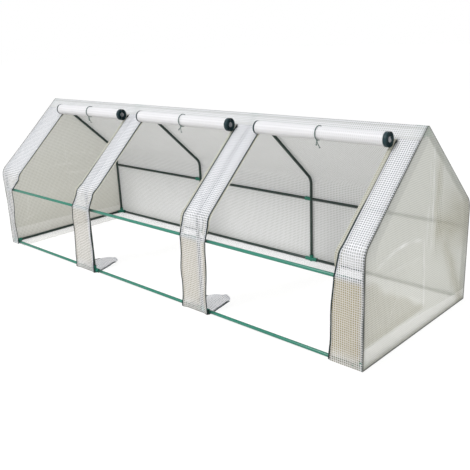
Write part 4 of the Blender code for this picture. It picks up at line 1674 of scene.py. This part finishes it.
tieLook = {
    "radius": 0.0019,
    "sides": 10,
    "lean": (0.35, -0.25, 0.2),  # which way each tie's tails lean
    "knotAngle": (1.95, 1.90, 2.0),  # round the roll, from straight away from the roof
    "knot": (0.0013, 0.8),  # size, and the cord's thickness when it is pulled tight
    "stopper": (0.0009, 0.7),
    "tails": ((1, 1.0), (-1, 0.6)),  # side and share of the full length
    "tailThickness": 0.8,
    # a full tail from the knot: out from the roll, share of its lean, down
    "tail": ((0.004, 0.25, 0.003), (0.006, 0.7, 0.010), (0.005, 1.2, 0.019), (0.004, 1.5, 0.027)),
}


def cordAlong(name, points, radius, closed=False):
    # a round cord with its UVs in turns and in metres along it
    sides, count = tieLook["sides"], len(points)
    tangents = []
    for i in range(count):
        before = points[i - 1] if i or closed else points[0]
        after = points[(i + 1) % count] if i < count - 1 or closed else points[-1]
        tangents.append((after - before).normalized())
    out = tangents[0].orthogonal().normalized()
    verts, runs = [], [0.0]
    for point, tangent in zip(points, tangents):
        out = (out - tangent * out.dot(tangent)).normalized()
        side = tangent.cross(out)
        for k in range(sides):
            turn = 2 * math.pi * k / sides
            verts.append(point + (out * math.cos(turn) + side * math.sin(turn)) * radius)
    for before, after in zip(points, points[1:] + points[:1]):
        runs.append(runs[-1] + (after - before).length)
    faces, uvs = [], []
    for i in range(count if closed else count - 1):
        for k in range(sides):
            ring, n = (i + 1) % count, (k + 1) % sides
            faces.append((i * sides + k, i * sides + n, ring * sides + n, ring * sides + k))
            for turn, run in ((k, i), (k + 1, i), (k + 1, i + 1), (k, i + 1)):
                uvs.append((turn / sides, runs[run]))
    if not closed:
        for ring, order in ((0, range(sides - 1, -1, -1)), (count - 1, range(sides))):
            faces.append([ring * sides + k for k in order])
            uvs += [(0.5, runs[ring])] * sides
    thing = fromPoints(name, verts, faces)
    thing.data.uv_layers.new(name="cord").data.foreach_set("uv", np.array(uvs, dtype=np.float32).ravel())
    thing.data.shade_smooth()
    return thing


def smoothPath(stations, steps=8):
    # a soft curve through the stations
    points = []
    for i in range(len(stations) - 1):
        a, b, c = stations[max(i - 1, 0)], stations[i], stations[i + 1]
        d = stations[min(i + 2, len(stations) - 1)]
        for k in range(steps):
            t = k / steps
            bent = (2 * a - 5 * b + 4 * c - d) * t**2 + (3 * b - a - 3 * c + d) * t**3
            points.append(0.5 * (2 * b + (c - a) * t + bent))
    return points + [stations[-1]]


def overhandKnot(name, centre, tied, ways):
    size, thinned = tied
    points = []
    for k in range(40):
        turn = 2 * math.pi * k / 40
        x, y = math.sin(turn) + 2 * math.sin(2 * turn), math.cos(turn) - 2 * math.cos(2 * turn)
        points.append(centre + (ways[0] * x + ways[1] * y - ways[2] * math.sin(3 * turn)) * size)
    return cordAlong(name, points, tieLook["radius"] * thinned, closed=True)


def makeTie(door):
    look, name = tieLook, f"door_{door}_tie"
    place = roofPlace(rollEnds(door)[2], rollLook["drop"], coverLook["offset"] + rollLook["radius"])
    lean, knotAngle = look["lean"][door - 1], look["knotAngle"][door - 1]
    girth = rollLook["radius"] - rollLook["pinch"][0] + look["radius"] + 0.0003

    def onRoll(angle, out=0.0):
        # angle from straight away from the roof, positive down the slope; it runs slack under the roll
        reach = girth + 0.0026 * softBand(abs(angle), math.pi, 0.5) + out
        sideways = 0.002 * math.sin(angle * 2) * lean
        return place @ Vector((sideways, -math.sin(angle) * reach, math.cos(angle) * reach))

    loop = [onRoll(2 * math.pi * k / 72 - math.pi) for k in range(72)]
    beside = Vector((1, 0, 0))
    away = (onRoll(knotAngle, 0.01) - onRoll(knotAngle)).normalized()
    ways = (away.cross(beside), beside, away)
    parts = [
        cordAlong(name + "_loop", loop, look["radius"], closed=True),
        overhandKnot(name + "_knot", onRoll(knotAngle, 0.0012), look["knot"], ways),
    ]
    for side, share in look["tails"]:
        reach = lean * 0.020 + side * 0.006
        stations = [onRoll(knotAngle, 0.0022)]
        for out, leant, down in look["tail"]:
            stations.append(stations[0] + away * out + Vector((reach * leant, 0, -down * share)))
        stations[1].z += 0.003 * share - 0.003  # both tails leave the knot alike
        parts.append(cordAlong(name + "_tail", smoothPath(stations), look["radius"] * look["tailThickness"]))
        parts.append(overhandKnot(name + "_stopper", stations[-1], look["stopper"], ways))
    dress(joinAll(parts, name), cordMaterial, f"door_{door}_roll")


for door in (1, 2, 3):
    makeTie(door)
print("ties made")


# Zip sliders

sliderLook = {
    "shell": (0.009, 0.012, 0.004),
    "nose": 0.66,  # how narrow its nose is
    "channel": (0.0011, 0.0016),  # edge left round the channel between the plates, and its depth
    "panel": (0.0012, 0.0003),  # edge left round the raised panel on top, and its rise
    "crown": (0.0022, 0.0006),
    "pull": (0.004, 0.016, 0.0014),
    "recess": (0.2, 0.0004),  # share of the pull's width left round its recess, and the depth
    "rounding": (0.0004, 0.0005),  # of the shell and of the pull
    "parked": 0.018,  # below the top seam
}


def makeSlider():
    look = sliderLook
    w, l, h = look["shell"]
    shell = blockOf((w, l, h), (0, 0, h / 2))
    editFaces(shell, lambda face: face.normal.y < -0.9)  # narrow the nose that runs down the zip
    bpy.ops.transform.resize(value=(look["nose"], 1, 1), center_override=(0, -l / 2, h / 2))
    leaveEdit()
    editFaces(shell, lambda face: abs(face.normal.x) > 0.8)
    edge, deep = look["channel"]
    bpy.ops.mesh.inset(thickness=edge)
    bpy.ops.mesh.extrude_region_shrink_fatten(TRANSFORM_OT_shrink_fatten={"value": -deep})
    leaveEdit()
    editFaces(shell, lambda face: face.normal.z > 0.9 and face.center.z > h * 0.9)
    edge, rise = look["panel"]
    bpy.ops.mesh.inset(thickness=edge)
    bpy.ops.transform.translate(value=(0, 0, rise))
    leaveEdit()
    bevelled(shell, look["rounding"][0], 35)
    # the crown that carries the pull
    ring, wire = look["crown"]
    bpy.ops.mesh.primitive_torus_add(
        location=(0, 0.0010, h - 0.0002), rotation=(0, math.pi / 2, 0), major_segments=18,
        minor_segments=8, major_radius=ring, minor_radius=wire,
    )
    crown = settle(bpy.context.object)
    # the pull: a plate with rounded edges and a recess
    pullWidth, pullLength, pullThickness = look["pull"]
    pull = blockOf(look["pull"], (0, 0.001 - pullLength / 2, h + pullThickness * 0.9))
    editFaces(pull, lambda face: face.normal.z > 0.9)
    edge, deep = look["recess"]
    bpy.ops.mesh.inset(thickness=pullWidth * edge)
    bpy.ops.mesh.extrude_region_move(TRANSFORM_OT_translate={"value": (0, 0, -deep)})
    leaveEdit()
    return joinAll([shell, crown, bevelled(pull, look["rounding"][1], 60)], "zipSlider")


unit = makeSlider()
for door in (1, 2, 3):
    for sideName in ("left", "right"):
        node = f"door_{door}_{sideName}_zip_slider"
        place = roofPlace(middleOf(node).x, coverLook["topSeam"] + sliderLook["parked"], inset + 0.0003)
        dress(copyOf(unit, node + "_moulded", place), nylon, node, stands=[node])
bpy.data.objects.remove(unit)
print("sliders made")
